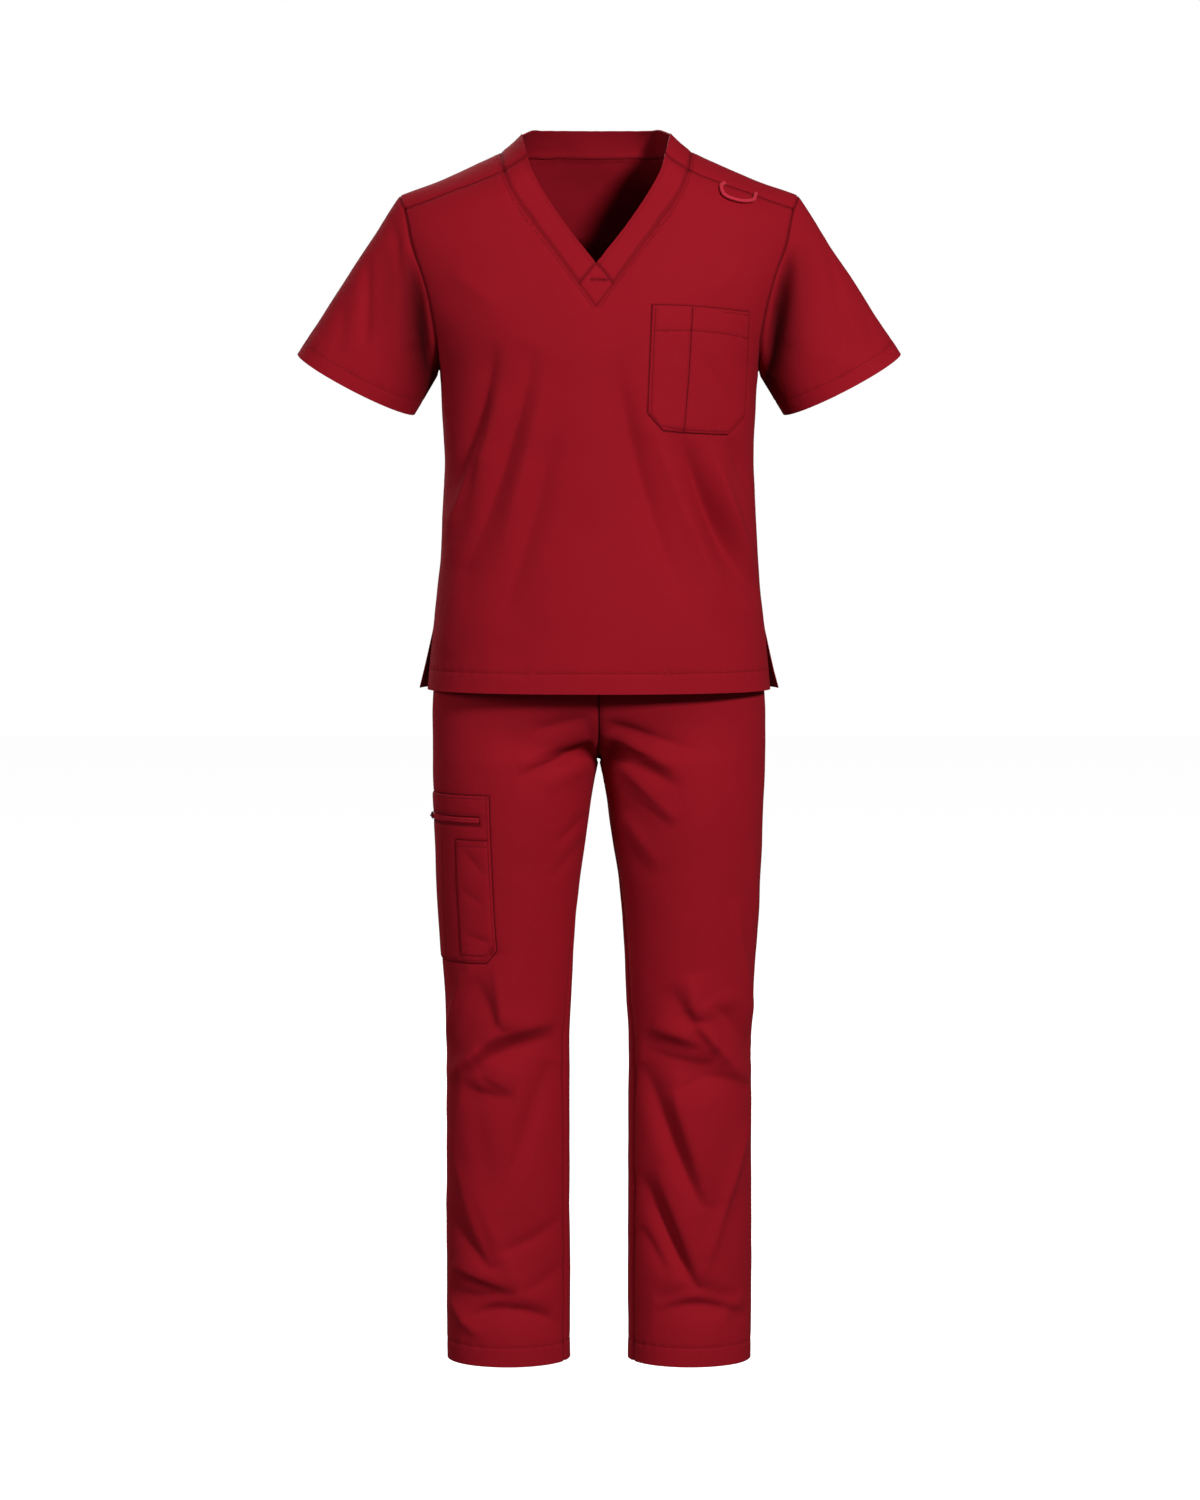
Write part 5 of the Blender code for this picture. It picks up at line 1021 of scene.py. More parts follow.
class Garment:
    """Sheets sewn along shared points into one skin, with their folds and sewn lines."""

    def __init__(self):
        self.points = []
        self.tris = []
        self.cut = []
        self.piece = []
        self.lines = []
        self.count = 0

    def add(self, name, points, tris, cut):
        """cut gives each point's place in the flat cloth."""
        self.points.append(points)
        self.tris.append(tris + self.count)
        self.cut.append(np.asarray(cut, float)[tris])
        self.piece += [name] * len(tris)
        self.count += len(points)

    def sew(self, line, pieces, dip=STITCH_DIP, wide=STITCH_WIDE, thread=True, pucker=0.0,
            shade=STITCH_SHADE):
        """A sewn line along points of the smooth skin, marked on the named pieces, with shade
        painted along it.
        """
        if len(line) > 1:
            self.lines.append((np.asarray(line, float), pieces, dip, wide, thread, pucker,
                               shade))

    def seam(self, line, pieces, shade=1.0):
        """A join of two pieces: a groove with no thread showing, with shade painted down it."""
        self.sew(line, pieces, SEAM_DIP, SEAM_WIDE, False, shade=shade)

    def weld(self):
        """Join the sheets where their points meet."""
        points = np.concatenate(self.points)
        tree = tree_of(points)
        owner = np.array([min(k for _, k, _ in tree.find_range(p, WELD)) for p in points])
        keep, place = np.unique(owner, return_inverse=True)
        self.skin = points[keep]
        self.tris = place[np.concatenate(self.tris)]
        self.cut = np.concatenate(self.cut)
        self.piece = np.array(self.piece)
        self.flat_skin = self.skin.copy()
        self.flat_tree = tree_of(self.flat_skin)
        self.normals()

    def normals(self):
        total = np.zeros_like(self.skin)
        for k in range(3):
            a = self.skin[self.tris[:, k]]
            u = self.skin[self.tris[:, (k + 1) % 3]] - a
            v = self.skin[self.tris[:, (k + 2) % 3]] - a
            np.add.at(total, self.tris[:, k], np.cross(u, v))
        self.normal = total / np.maximum(np.linalg.norm(total, axis=1), 1e-12)[:, None]

    def on(self, names):
        """1 for each point of the named pieces."""
        mark = np.zeros(len(self.skin))
        mark[np.unique(self.tris[np.isin(self.piece, names)])] = 1.0
        return mark

    def lift(self, height):
        self.skin = self.skin + self.normal * height[:, None]
        self.normals()

    def relax(self, level, reach, rounds):
        """Ease the skin round a height, where the shape of its sections changes."""
        ends = np.concatenate([self.tris[:, [0, 1]], self.tris[:, [1, 2]], self.tris[:, [2, 0]]])
        share = 0.5 * np.exp(-((self.skin[:, 2] - level) / reach) ** 2)[:, None]
        for _ in range(rounds):
            total = np.zeros_like(self.skin)
            count = np.zeros(len(self.skin))
            for a, b in ((0, 1), (1, 0)):
                np.add.at(total, ends[:, a], self.skin[ends[:, b]])
                np.add.at(count, ends[:, a], 1)
            self.skin += share * (total / np.maximum(count, 1)[:, None] - self.skin)
        self.normals()

    def dress(self, seed, ripple=RIPPLE):
        """Uneven hand of the cloth, then the sewn lines with their grooves and the shade painted
        along them.
        """
        broad, fine = RIPPLE_SCALES
        height = ripple * np.array([
            noise.noise(Vector(p) * broad + Vector((seed, 0, 0)))
            + 0.5 * noise.noise(Vector(p) * fine + Vector((0, seed, 0)))
            for p in self.flat_skin])
        self.painted_shade = np.zeros(len(self.skin))
        for line, pieces, dip, wide, _, pucker, shade in self.lines:
            chosen = np.flatnonzero(self.on(pieces) > 0)
            reach = 4 * wide + (2 * PUCKER_WIDE if pucker else 0)
            near = self.flat_skin[chosen]
            chosen = chosen[((near > line.min(0) - reach) & (near < line.max(0) + reach)).all(1)]
            if not len(chosen):
                continue
            far = run_of(line)
            count = max(2, int(round(far[-1] / LINE_STEP)) + 1)
            tree = tree_of(on_line(line, far, np.linspace(0, far[-1], count)))
            found = [tree.find(p) for p in self.flat_skin[chosen]]
            gap = np.array([f[2] for f in found])
            at = np.array([f[1] for f in found]) * LINE_STEP
            height[chosen] -= dip * np.exp(-(gap / wide) ** 2)
            # painted shade down each sewn line, darkest at its middle
            dark = shade * np.exp(-(gap / SEAM_LINE) ** 2)
            self.painted_shade[chosen] = np.maximum(self.painted_shade[chosen], dark)
            if pucker:
                wave = np.sin(at * 2 * math.pi / PUCKER_LONG + 2.2 * np.sin(at * 31 + seed))
                height[chosen] += pucker * wave * np.exp(-(gap / PUCKER_WIDE) ** 2)
        self.lift(height)

    def settled(self, line):
        """Where a line of the smooth skin ended up, and the outward directions there."""
        move = self.skin - self.flat_skin
        places = []
        outward = []
        for p in line:
            found = self.flat_tree.find_n(p, 3)
            weight = np.array([1 / max(d, 1e-6) for _, _, d in found])
            weight /= weight.sum()
            ids = [i for _, i, _ in found]
            places.append(p + (move[ids] * weight[:, None]).sum(0))
            outward.append((self.normal[ids] * weight[:, None]).sum(0))
        outward = np.array(outward)
        return np.array(places), outward / np.linalg.norm(outward, axis=1)[:, None]


def make_mesh(name, verts, tris, tri_cut, quads=(), quad_cut=(), sharp=(), painted_shade=None):
    """Mesh object from arrays, with the flat cloth's places as its UV map."""
    mesh = bpy.data.meshes.new(name)
    corners = np.concatenate([np.ravel(tris), np.ravel(quads)]).astype(np.int32)
    starts = np.concatenate([np.arange(len(tris)) * 3,
                             3 * len(tris) + np.arange(len(quads)) * 4]).astype(np.int32)
    mesh.vertices.add(len(verts))
    mesh.vertices.foreach_set("co", np.ravel(verts - [0, 0, ORIGIN_Z]).astype(np.float32))
    mesh.loops.add(len(corners))
    mesh.loops.foreach_set("vertex_index", corners)
    mesh.polygons.add(len(starts))
    mesh.polygons.foreach_set("loop_start", starts)
    mesh.update(calc_edges=True)
    mesh.validate()
    places = np.concatenate([np.ravel(tri_cut), np.ravel(quad_cut)])
    mesh.uv_layers.new(name="cut").data.foreach_set("uv", places.astype(np.float32))
    mesh.shade_smooth()
    # painted shade at each point, for the cloth's material to darken its colour
    if painted_shade is not None:
        mark = mesh.attributes.new("painted_shade", "FLOAT", "POINT")
        mark.data.foreach_set("value", painted_shade.astype(np.float32))
    if len(sharp):
        ends = np.zeros(len(mesh.edges) * 2, np.int32)
        mesh.edges.foreach_get("vertices", ends)
        wanted = {(min(a, b), max(a, b)) for a, b in sharp}
        flags = np.array([(a, b) in wanted
                          for a, b in np.sort(ends.reshape(-1, 2), axis=1).tolist()])
        mark = mesh.attributes.new("sharp_edge", "BOOLEAN", "EDGE")
        mark.data.foreach_set("value", flags)
    made_object = bpy.data.objects.new(name, mesh)
    bpy.context.scene.collection.objects.link(made_object)
    return made_object


def plain_mesh(name, verts, tris):
    verts = np.array(verts)
    return make_mesh(name, verts, np.array(tris), verts[:, [0, 2]][np.array(tris)])


def cloth_piece(garment, part, name, low, high):
    """One part of the skin as a closed thin wall between two heights over it."""
    mine = garment.piece == part
    cut = garment.cut[mine]
    used, local = np.unique(garment.tris[mine], return_inverse=True)
    tris = local.reshape(-1, 3)
    count = len(used)
    points = garment.skin[used]
    out = garment.normal[used]
    low, high = (np.broadcast_to(h, len(garment.skin))[used][:, None] for h in (low, high))
    sides = {}
    for t, c in zip(tris.tolist(), cut):
        for k in range(3):
            sides[(t[k], t[(k + 1) % 3])] = (c[k], c[(k + 1) % 3])
    border = [(a, b) for a, b in sides if (b, a) not in sides]
    quads = np.array([[b, a, count + a, count + b] for a, b in border])
    quad_cut = np.array([[sides[e][k] for k in (1, 0, 0, 1)] for e in border])
    # painted shade on the outer face; the inner face has at least the shade painted inside the
    # garment
    painted_shade = garment.painted_shade[used]
    return make_mesh(name, np.concatenate([points + out * high, points + out * low]),
                     np.concatenate([tris, count + tris[:, ::-1]]),
                     np.concatenate([cut, cut[:, ::-1]]), quads, quad_cut,
                     border + [(count + a, count + b) for a, b in border],
                     np.concatenate([painted_shade, np.maximum(painted_shade, INSIDE_PAINTED_SHADE)]))


def stitches(name, garments, rise):
    """Short threads along every sewn line that shows its thread."""
    verts = []
    tris = []
    shown = [(garment, line) for garment in garments
             for line, _, _, _, thread, _, _ in garment.lines if thread]
    for garment, line in shown:
        places, outward = garment.settled(line)
        far = run_of(places)
        if far[-1] < 2 * STITCH_PITCH:
            continue
        starts = np.arange(0.3 * STITCH_PITCH, far[-1] - STITCH_LONG, STITCH_PITCH)
        at = starts[:, None] + np.array([0.0, 0.2, 0.8, 1.0]) * STITCH_LONG
        spots = on_line(places, far, at)
        ups = on_line(outward, far, at)
        ahead = spots[:, 3] - spots[:, 0]
        ahead /= np.maximum(np.linalg.norm(ahead, axis=1), 1e-9)[:, None]
        for spot, up, way in zip(spots, ups, ahead):
            side = np.cross(way, up[1])
            side /= max(np.linalg.norm(side), 1e-9)
            ends = spot + up * (rise - STITCH_RADIUS * 1.2)
            first = len(verts)
            verts.append(ends[0])
            for k in (1, 2):
                middle = spot[k] + up[k] * (rise + STITCH_RADIUS * 0.1)
                for u, v in ((1, 0), (0, 1), (-1, 0), (0, -1)):
                    verts.append(middle + STITCH_RADIUS * (side * u + up[k] * v))
            verts.append(ends[3])
            for k in range(4):
                a = first + 1 + k
                b = first + 1 + (k + 1) % 4
                tris += [(first, b, a), (a, b, b + 4), (a, b + 4, a + 4),
                         (first + 9, a + 4, b + 4)]
    return plain_mesh(name, verts, tris)


# ---------------------------------------------------------------- the top
def sewn_rows(line):
    """Rows of points for the groove of a sewn line."""
    return [offset(line, -ROW_SET), line, offset(line, ROW_SET)]


def edge_rows(pocket):
    """Rows of points for the painted shadow round a pocket's edge."""
    return [inset(pocket, pocket, -away) for away in EDGE_ROWS]


def body_panel(cloth, name, uppers, neckline, side, vent, seams, topstitched, rows):
    """The front or back of the top: its outline, its cloth and its rows of stitching.

    uppers holds its left and right borders above the side seams."""
    back = name == "top_back"
    half = vent[-1][0]
    stations = [at_height(half * (1 - 2 * i / HEM_STOPS), HEM_Z, back)
                for i in range(1, HEM_STOPS)]
    hem = refine([vent[-1], *stations, *mirror_places(vent[-1:])], PARTS)[1:-1]
    hem = [at_height(flat, HEM_Z, back) for flat, _ in hem]
    left = uppers[0] + side[1:] + vent
    right = uppers[1] + mirror_places(side[1:] + vent)
    outline = left + hem + right[::-1] + neckline
    stitched = [inset(line, outline, EDGE_STITCH) for line in topstitched]
    stitched += [inset(refine(line, 2), outline, VENT_STITCH)
                 for line in both_sides([side[-1], *vent])]
    hem_line = [at_height(flat, HEM_Z + HEM_BAND, back)
                for flat in np.linspace(0.97, -0.97, TOP_HEM_POINTS) * half]
    sewn = [row for line in [*stitched, hem_line] for row in sewn_rows(line)]
    borders = [inset(line, outline, ROW_SET) for line in seams]
    flat, tris = triangulate(outline, borders + sewn + rows, FINE)
    cloth.add(name, at_body(flat), tris, flat)
    for line in stitched:
        cloth.sew(at_body(line), [name], pucker=EDGE_PUCKER)
    cloth.sew(at_body(hem_line), [name], pucker=HEM_PUCKER)


def band(cloth, name, outer, inner, flip):
    """A length of the neckband between its seam and its free edge, with its stitching."""
    outer = np.array(outer)[:, None]
    share = np.linspace(0, 1, BAND_COLUMNS * PARTS + 1)[:, None]
    places = outer + (np.array(inner)[:, None] - outer) * share
    flat = places.reshape(-1, 2)
    cloth.add(name, at_body(flat), grid_faces(*places.shape[:2], flip=flip), flat)
    cloth.sew(at_body(places[:, 1]), [name], pucker=BAND_PUCKER)
    return places


def neck_point(cloth, low_left, low_right, apex):
    """The crossed ends of the band, ruled between their four edges, with their stitching."""
    share = np.linspace(0, 1, len(low_left))[:, None]
    top_edge = apex + (low_right[0] - apex) * share
    left_edge = apex + (low_left[0] - apex) * share
    s = share[:, None]
    r = share[None]
    places = ((1 - s) * top_edge + s * low_left
              + (1 - r) * left_edge[:, None] + r * low_right[:, None]
              - (1 - s) * (1 - r) * apex - s * (1 - r) * low_left[0]
              - (1 - s) * r * low_right[0] - s * r * low_left[-1])
    flat = places.reshape(-1, 2)
    cloth.add("neck_point", at_body(flat), grid_faces(len(s), len(s), flip=True), flat)
    for line in (top_edge, left_edge):
        cloth.sew(at_body(line), TOP_PIECES, 1.0 * MM, 1.4 * MM, shade=0.5)
    bar = [body_flat(x, POINT_BAR_Z, False) for x in np.linspace(*POINT_BAR_ENDS, 9)]
    cloth.sew(at_body(bar), ["neck_point", "neckband_left", "neckband_right"], 0.6 * MM,
              shade=0.7)


def sleeve(cloth, name, ring, front_count, sign):
    """A sleeve on straight lines from its armhole to its cuff."""
    arm = at_body(ring * [sign, 1])
    down = cuff_ring(arm, front_count, sign) - arm
    cut = np.stack(np.meshgrid(np.linspace(0, SLEEVE_ROUND, len(arm)),
                               SLEEVE_STOPS * SLEEVE_LONG), -1)
    cloth.add(name, np.concatenate([arm + down * t for t in SLEEVE_STOPS]),
              grid_faces(len(SLEEVE_STOPS), len(arm), flip=sign < 0, ring=True),
              cut.reshape(-1, 2))
    share = np.clip(1 - CUFF_BAND / np.linalg.norm(down, axis=1), 0.4, 1)
    hem = arm + down * share[:, None]
    cloth.sew(np.concatenate([hem, hem[:1]]), [name], pucker=CUFF_PUCKER)


def build_top(cloth):
    front_arm, back_arm = (refine(armhole_stations(back), PARTS) for back in (False, True))
    over = front_arm[:SHOULDER_AT * PARTS + 1]
    lower = front_arm[SHOULDER_AT * PARTS:]
    neck = {}
    end = {}
    shoulder = {}
    for sign, (tip,) in zip((1, -1), both_sides(lower[:1])):
        line = neck_places(sign)
        end[sign] = refine(line[:BAND_COLUMNS + 1], PARTS)
        neck[sign] = refine(line[BAND_COLUMNS:], PARTS)
        crossing = [shoulder_place(sign * reach, reach) for reach in SHOULDER_REACHES]
        shoulder[sign] = refine([band_corner(sign, True), *crossing, tip], PARTS)

    # front panel
    side, vent = side_stations(False)
    v_seams = [end[sign] + neck[sign][1:] for sign in (1, -1)]
    upper = [*v_seams, shoulder[1], shoulder[-1], *both_sides(lower)]
    uppers = [v_seams[0] + shoulder[1][1:] + lower[1:],
              v_seams[1][1:] + shoulder[-1][1:] + mirror_places(lower[1:])]
    sides = both_sides(side)
    pocket = [tuple(body_flat(x, z, False)) for x, z in closed_line(CHEST_POCKET)]
    body_panel(cloth, "top_front", uppers, [], side, vent, upper + sides, upper,
               edge_rows(pocket))
    for line in v_seams:
        cloth.seam(at_body(line), TOP_PIECES, 0.4)
    for line in upper[2:] + sides:
        cloth.seam(at_body(line), TOP_PIECES, 0.8)
    # painted shadow just outside the chest pocket's edge, darker on its sides away from the
    # light
    beside = at_body(inset(pocket, pocket, -EDGE_SHADE))
    for begin, stop, shade in CHEST_EDGE_SHADOW:
        line = beside[int(begin * len(beside)):int(stop * len(beside)) + 1]
        cloth.sew(line, ["top_front"], EDGE_DIP, shade=shade, thread=False)

    # back panel, from the forward shoulder seam over the ridge to the hem
    side, vent = side_stations(True)
    back_neck, back_edge = (
        refine([band_corner(1, not edge), *back_neck_places(edge), band_corner(-1, not edge)],
               PARTS) for edge in (False, True))
    arms = both_sides(over + back_arm[1:])
    down = over[::-1][1:] + back_arm[1:]
    sides = both_sides(side)
    body_panel(cloth, "top_back", [shoulder[1] + down, shoulder[-1] + mirror_places(down)],
               back_neck[1:-1][::-1], side, vent,
               [shoulder[1], shoulder[-1], *arms, *sides, back_neck], [*arms, back_neck], [])
    for line in (*arms, *sides, back_neck):
        cloth.seam(at_body(line), TOP_PIECES, 0.6)

    # neckband: two front lengths, the crossed ends and the back length
    inner = band_line(BAND_EDGE, BAND_EDGE_STOPS)
    for sign, name in ((1, "neckband_left"), (-1, "neckband_right")):
        edge = [tuple(body_flat(sign * x + NECK_SHIFT, z, False)) for x, z in inner]
        edge = refine([*edge, band_corner(sign, False)], PARTS)
        places = band(cloth, name, neck[sign], edge, sign > 0)
        cloth.sew(at_body(places[:, -2]), [name], 0.25 * MM, thread=False)
    neck_point(cloth, np.array(end[-1])[::-1], np.array(end[1])[::-1], places[0, -1])
    band(cloth, "neckband_back", back_neck, back_edge, True)
    for sign in (1, -1):
        line = np.linspace(band_corner(sign, True), band_corner(sign, False), 12)
        cloth.seam(at_body(line), TOP_PIECES, 0.5)
    ring = np.array(front_arm + back_arm[1:-1][::-1])
    sleeve(cloth, "sleeve_left", ring, len(front_arm), 1)
    sleeve(cloth, "sleeve_right", ring, len(front_arm), -1)


# ---------------------------------------------------------------- the trousers
def build_leg(cloth, sign):
    """One leg's front and back panels."""
    below = np.linspace(HEM_LEVEL, 0, LEG_STOPS * PARTS)
    levels = np.concatenate([below, np.linspace(0, TOP_LEVEL, RISE_STOPS * PARTS)[1:]])
    outseam = [(0.0, v) for v in levels]
    steps = WAIST_STOPS * PARTS
    pocket = closed_line(CARGO)
    for name, length, direction in zip(("front", "back"), half_round(levels), (-1, 1)):
        piece = f"trouser_{name}_{'left' if sign > 0 else 'right'}"
        inner = [(direction * r, v) for r, v in zip(length, levels)]
        top = [(inner[-1][0] * (1 - k / steps), TOP_LEVEL) for k in range(1, steps)]
        hem = [(inner[0][0] * k / steps, HEM_LEVEL) for k in range(1, steps)]
        outline = (inner + top + outseam[::-1] + hem)[::direction]
        inseam = inner[:len(below)]
        rise = inner[len(below) - 1:]
        seams = (inseam, rise, outseam)
        hem_line = [(inner[0][0] * k / LEG_HEM_POINTS, HEM_LEVEL + LEG_BAND)
                    for k in range(LEG_HEM_POINTS + 1)]
        stitched = [inset(inseam if name == "front" else outseam, outline, LEG_STITCH)]
        if sign > 0:
            stitched.append(inset(rise, outline, RISE_STITCH))
        rows = [inset(line, outline, ROW_SET) for line in seams]
        for line in (hem_line, *stitched):
            rows += sewn_rows(line)
        if sign < 0:
            rows += edge_rows(pocket)
        flat, tris = triangulate(outline, rows, FINE)
        cloth.add(piece, at_leg(flat, sign), tris[:, ::sign], flat)
        cloth.sew(at_leg(hem_line, sign), [piece], pucker=HEM_PUCKER, shade=0.5 * STITCH_SHADE)
        for line in stitched:
            cloth.sew(at_leg(line, sign), [piece], pucker=LEG_PUCKER)
        # painted shadow just outside the cargo pocket's edge
        if sign < 0:
            cloth.sew(at_right_leg(inset(pocket, pocket, -EDGE_SHADE)), [piece], EDGE_DIP,
                      shade=0.9, thread=False)
        for line in seams:
            cloth.seam(at_leg(line, sign), LEG_PIECES)


def build_waistband(cloth):
    """Closed band above the four panels, on the stations of their top edges."""
    half = np.arange(2 * WAIST_STOPS * PARTS + 1) / (WAIST_STOPS * PARTS)
    front, back = half_round(np.array([TOP_LEVEL]))
    flat = (half - 1) * np.where(half < 1, front, back)
    rows = [leg_from_flat(flat, np.full(len(half), TOP_LEVEL))]
    tall = WAIST_TOP_Z - WAIST_SEAM_Z
    for i in range(1, WAIST_ROWS + 1):
        rows.append(leg_point(half, np.full(len(half), TOP_LEVEL + tall * i / WAIST_ROWS)))
    rows = [np.concatenate([left, left[1:-1][::-1] * [-1, 1, 1]]) for left in rows]
    count = len(rows[0])
    cut = np.stack(np.meshgrid(np.linspace(0, 0.9, count),
                               np.linspace(0, tall, WAIST_ROWS + 1)), -1)
    cloth.add("waistband", np.concatenate(rows), grid_faces(len(rows), count, ring=True),
              cut.reshape(-1, 2))


# ---------------------------------------------------------------- patches
def build_patch(name, node_name, outline, sewn, lines, to_skin, table, lift, seed, hole=None,
                threads=True):
    """A patch pocket laid on the folded cloth, puffed up a little between its seams.

    Each of its lines comes with the depth of the shade painted along it."""
    rows = []
    for line in sewn:
        rows += [inset(line, outline, PATCH_ROW), inset(line, outline, PATCH_STITCH)]
    for line, _ in lines:
        rows += sewn_rows(line)
    flat, tris = triangulate(outline, rows, PATCH_FINE, hole)
    gap = np.full(len(flat), 1e9)
    for line in sewn:
        gap = np.minimum(gap, to_segments(flat, line))
    patch = Garment()
    patch.add(name, to_skin(flat), tris[:, ::-1] if to_skin is at_right_leg else tris, flat)
    patch.weld()
    patch.lift(fold(patch, table))
    for line, shade in lines:
        patch.sew(to_skin(line), [name], (0.4 + 0.6 * shade) * MM, thread=shade < 0.7,
                  shade=shade)
    # painted shade round the edge of the zip's window
    if hole:
        patch.sew(to_skin(hole + hole[:1]), [name], 0.0, thread=False, shade=1.0)
    for line in sewn if threads else ():
        patch.sew(to_skin(inset(line, outline, PATCH_STITCH)), [name], PATCH_DIP,
                  pucker=PATCH_PUCKER)
    patch.dress(seed, PATCH_RIPPLE)
    patch.rise = lift + PATCH_CLOTH * (1 - np.exp(-gap / PATCH_SWELL))
    low = np.minimum(patch.rise - PATCH_WALL, patch.rise * 0.5)
    place_piece(cloth_piece(patch, name, name, low, patch.rise + PATCH_PROUD), SCRUB,
                node_name)
    return patch


def corner_line(corners, first, last):
    """Fine line along some of a patch's corners."""
    return np.array(line_through([corners[k % len(corners)] for k in range(first, last + 1)]))


def chest_line(points):
    """A line seen from the front as flat places on the top."""
    return np.array([body_flat(x, z, False) for x, z in line_through(points)])


# ---------------------------------------------------------------- looks
def node(tree, kind, inputs=(), **settings):
    """A shader node with its settings, its inputs set to values or linked to outputs."""
    made_node = tree.nodes.new(kind)
    for key, value in settings.items():
        setattr(made_node, key, value)
    for key, value in dict(inputs).items():
        if isinstance(value, bpy.types.NodeSocket):
            tree.links.new(value, made_node.inputs[key])
        else:
            made_node.inputs[key].default_value = value
    return made_node


def maths(tree, operation, *values):
    return node(tree, "ShaderNodeMath", enumerate(values), operation=operation).outputs[0]


def shader_of(material):
    material.use_nodes = True
    return material.node_tree.nodes["Principled BSDF"]


def set_inputs(shader, **values):
    """Set the shader's inputs that exist; words of their names are joined by _."""
    for key, value in values.items():
        if key.replace("_", " ") in shader.inputs:
            shader.inputs[key.replace("_", " ")].default_value = value


def spots(tree, scale, detail, rough):
    """Fine noise over the object."""
    place = node(tree, "ShaderNodeTexCoord")
    return node(tree, "ShaderNodeTexNoise", {"Vector": place.outputs["Object"], "Scale": scale,
                                             "Detail": detail, "Roughness": rough}).outputs[0]


def ramp(tree, value, colour, stops, shares):
    """Two tones of a colour over a range of a value."""
    made_ramp = node(tree, "ShaderNodeValToRGB", {0: value})
    for element, stop, share in zip(made_ramp.color_ramp.elements, stops, shares):
        element.position = stop
        element.color = (*[min(1.0, c * share) for c in colour], 1)
    return made_ramp.outputs[0]


def finish(tree, shader, colour, grain, rough, spread, bump):
    """Link the shader's colour, its uneven roughness and its bump."""
    uneven = node(tree, "ShaderNodeMapRange", {"Value": grain, "To Min": rough - spread,
                                               "To Max": rough + spread})
    raised = node(tree, "ShaderNodeBump", bump)
    tree.links.new(colour, shader.inputs["Base Color"])
    tree.links.new(uneven.outputs[0], shader.inputs["Roughness"])
    tree.links.new(raised.outputs[0], shader.inputs["Normal"])


def twill(name, colour, period, rough, sheen, uneven):
    """Woven cloth: fine slanted ribs, crossed by the weft, on softly uneven dye and nap,
    darkened where shade is painted on it.
    """
    surface = bpy.data.materials.new(name)
    shader = shader_of(surface)
    tree = surface.node_tree
    uv = node(tree, "ShaderNodeUVMap", uv_map="cut")
    u, v, _ = node(tree, "ShaderNodeSeparateXYZ", {0: uv.outputs[0]}).outputs
    turn = 2 * math.pi / period
    slant = maths(tree, "ADD", maths(tree, "MULTIPLY", u, turn * 0.84),
                  maths(tree, "MULTIPLY", v, -turn * 0.54))
    weft = maths(tree, "SINE", maths(tree, "MULTIPLY", v, turn * 1.9))
    weave = maths(tree, "ADD", maths(tree, "SINE", slant), maths(tree, "MULTIPLY", weft, 0.35))
    fine = spots(tree, 420.0, 2.0, 0.6)
    broad = spots(tree, 9.0, 3.0, 0.55)
    tone = maths(tree, "ADD", maths(tree, "MULTIPLY", fine, 0.45),
                 maths(tree, "MULTIPLY", broad, 0.55))
    tone = maths(tree, "ADD", tone, maths(tree, "MULTIPLY", weave, 0.035))
    dyed = ramp(tree, tone, colour, (0.30, 0.70), (1 - uneven, 1 + uneven))
    # shade painted along seams, stitching, pocket edges, tucks and inside faces darkens the dyed
    # colour
    painted_shade = node(tree, "ShaderNodeAttribute", attribute_name="painted_shade")
    deep = (*[c * SEAM_SHADE for c in colour], 1)
    shaded = node(tree, "ShaderNodeMix", {"Factor": painted_shade.outputs["Fac"], "A": dyed, "B": deep},
                  data_type="RGBA")
    height = maths(tree, "ADD", weave, maths(tree, "MULTIPLY", fine, 1.6))
    finish(tree, shader, shaded.outputs["Result"], fine, rough, 0.06,
           {"Height": height, "Strength": 0.35, "Distance": 0.09 * MM})
    set_inputs(shader, Sheen_Weight=sheen, Sheen_Roughness=0.45,
               Sheen_Tint=(1.0, 0.42, 0.44, 1.0), Specular_IOR_Level=0.06)
    surface.diffuse_color = (*colour, 1)
    return surface


def enamel(name, colour, rough, metal):
    """Enamelled metal with a fine grain and slight wear."""
    surface = bpy.data.materials.new(name)
    shader = shader_of(surface)
    tree = surface.node_tree
    grain = spots(tree, 1400.0, 3.0, 0.6)
    worn = ramp(tree, grain, colour, (0.35, 0.75), (0.8, 1.3))
    finish(tree, shader, worn, grain, rough, 0.08,
           {"Height": grain, "Strength": 0.15, "Distance": 0.1 * MM})
    set_inputs(shader, Metallic=metal)
    surface.diffuse_color = (*colour, 1)
    return surface


SCRUB = twill("scrub_twill", (0.340, 0.0078, 0.0172), 0.75 * MM, 0.80, 0.02, 0.055)
# the thread is darker than the cloth: painted shade of the stitch holes along it
THREAD = twill("scrub_thread", (0.190, 0.0055, 0.0110), 0.4 * MM, 0.70, 0.02, 0.05)
CORD = twill("loop_cord", (0.62, 0.030, 0.060), 1.1 * MM, 0.50, 0.25, 0.06)
COIL = twill("zip_coil", (0.50, 0.016, 0.034), 0.4 * MM, 0.55, 0.0, 0.06)
ENAMEL = enamel("zip_metal", (0.20, 0.010, 0.018), 0.38, 0.45)


def place_piece(piece, surface, node_name=None):
    """Give a piece its material and body, and hide the solid that it stands for."""
    piece.data.materials.clear()
    piece.data.materials.append(surface)
    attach(piece, "garment")
    if node_name:
        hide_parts(node_name)


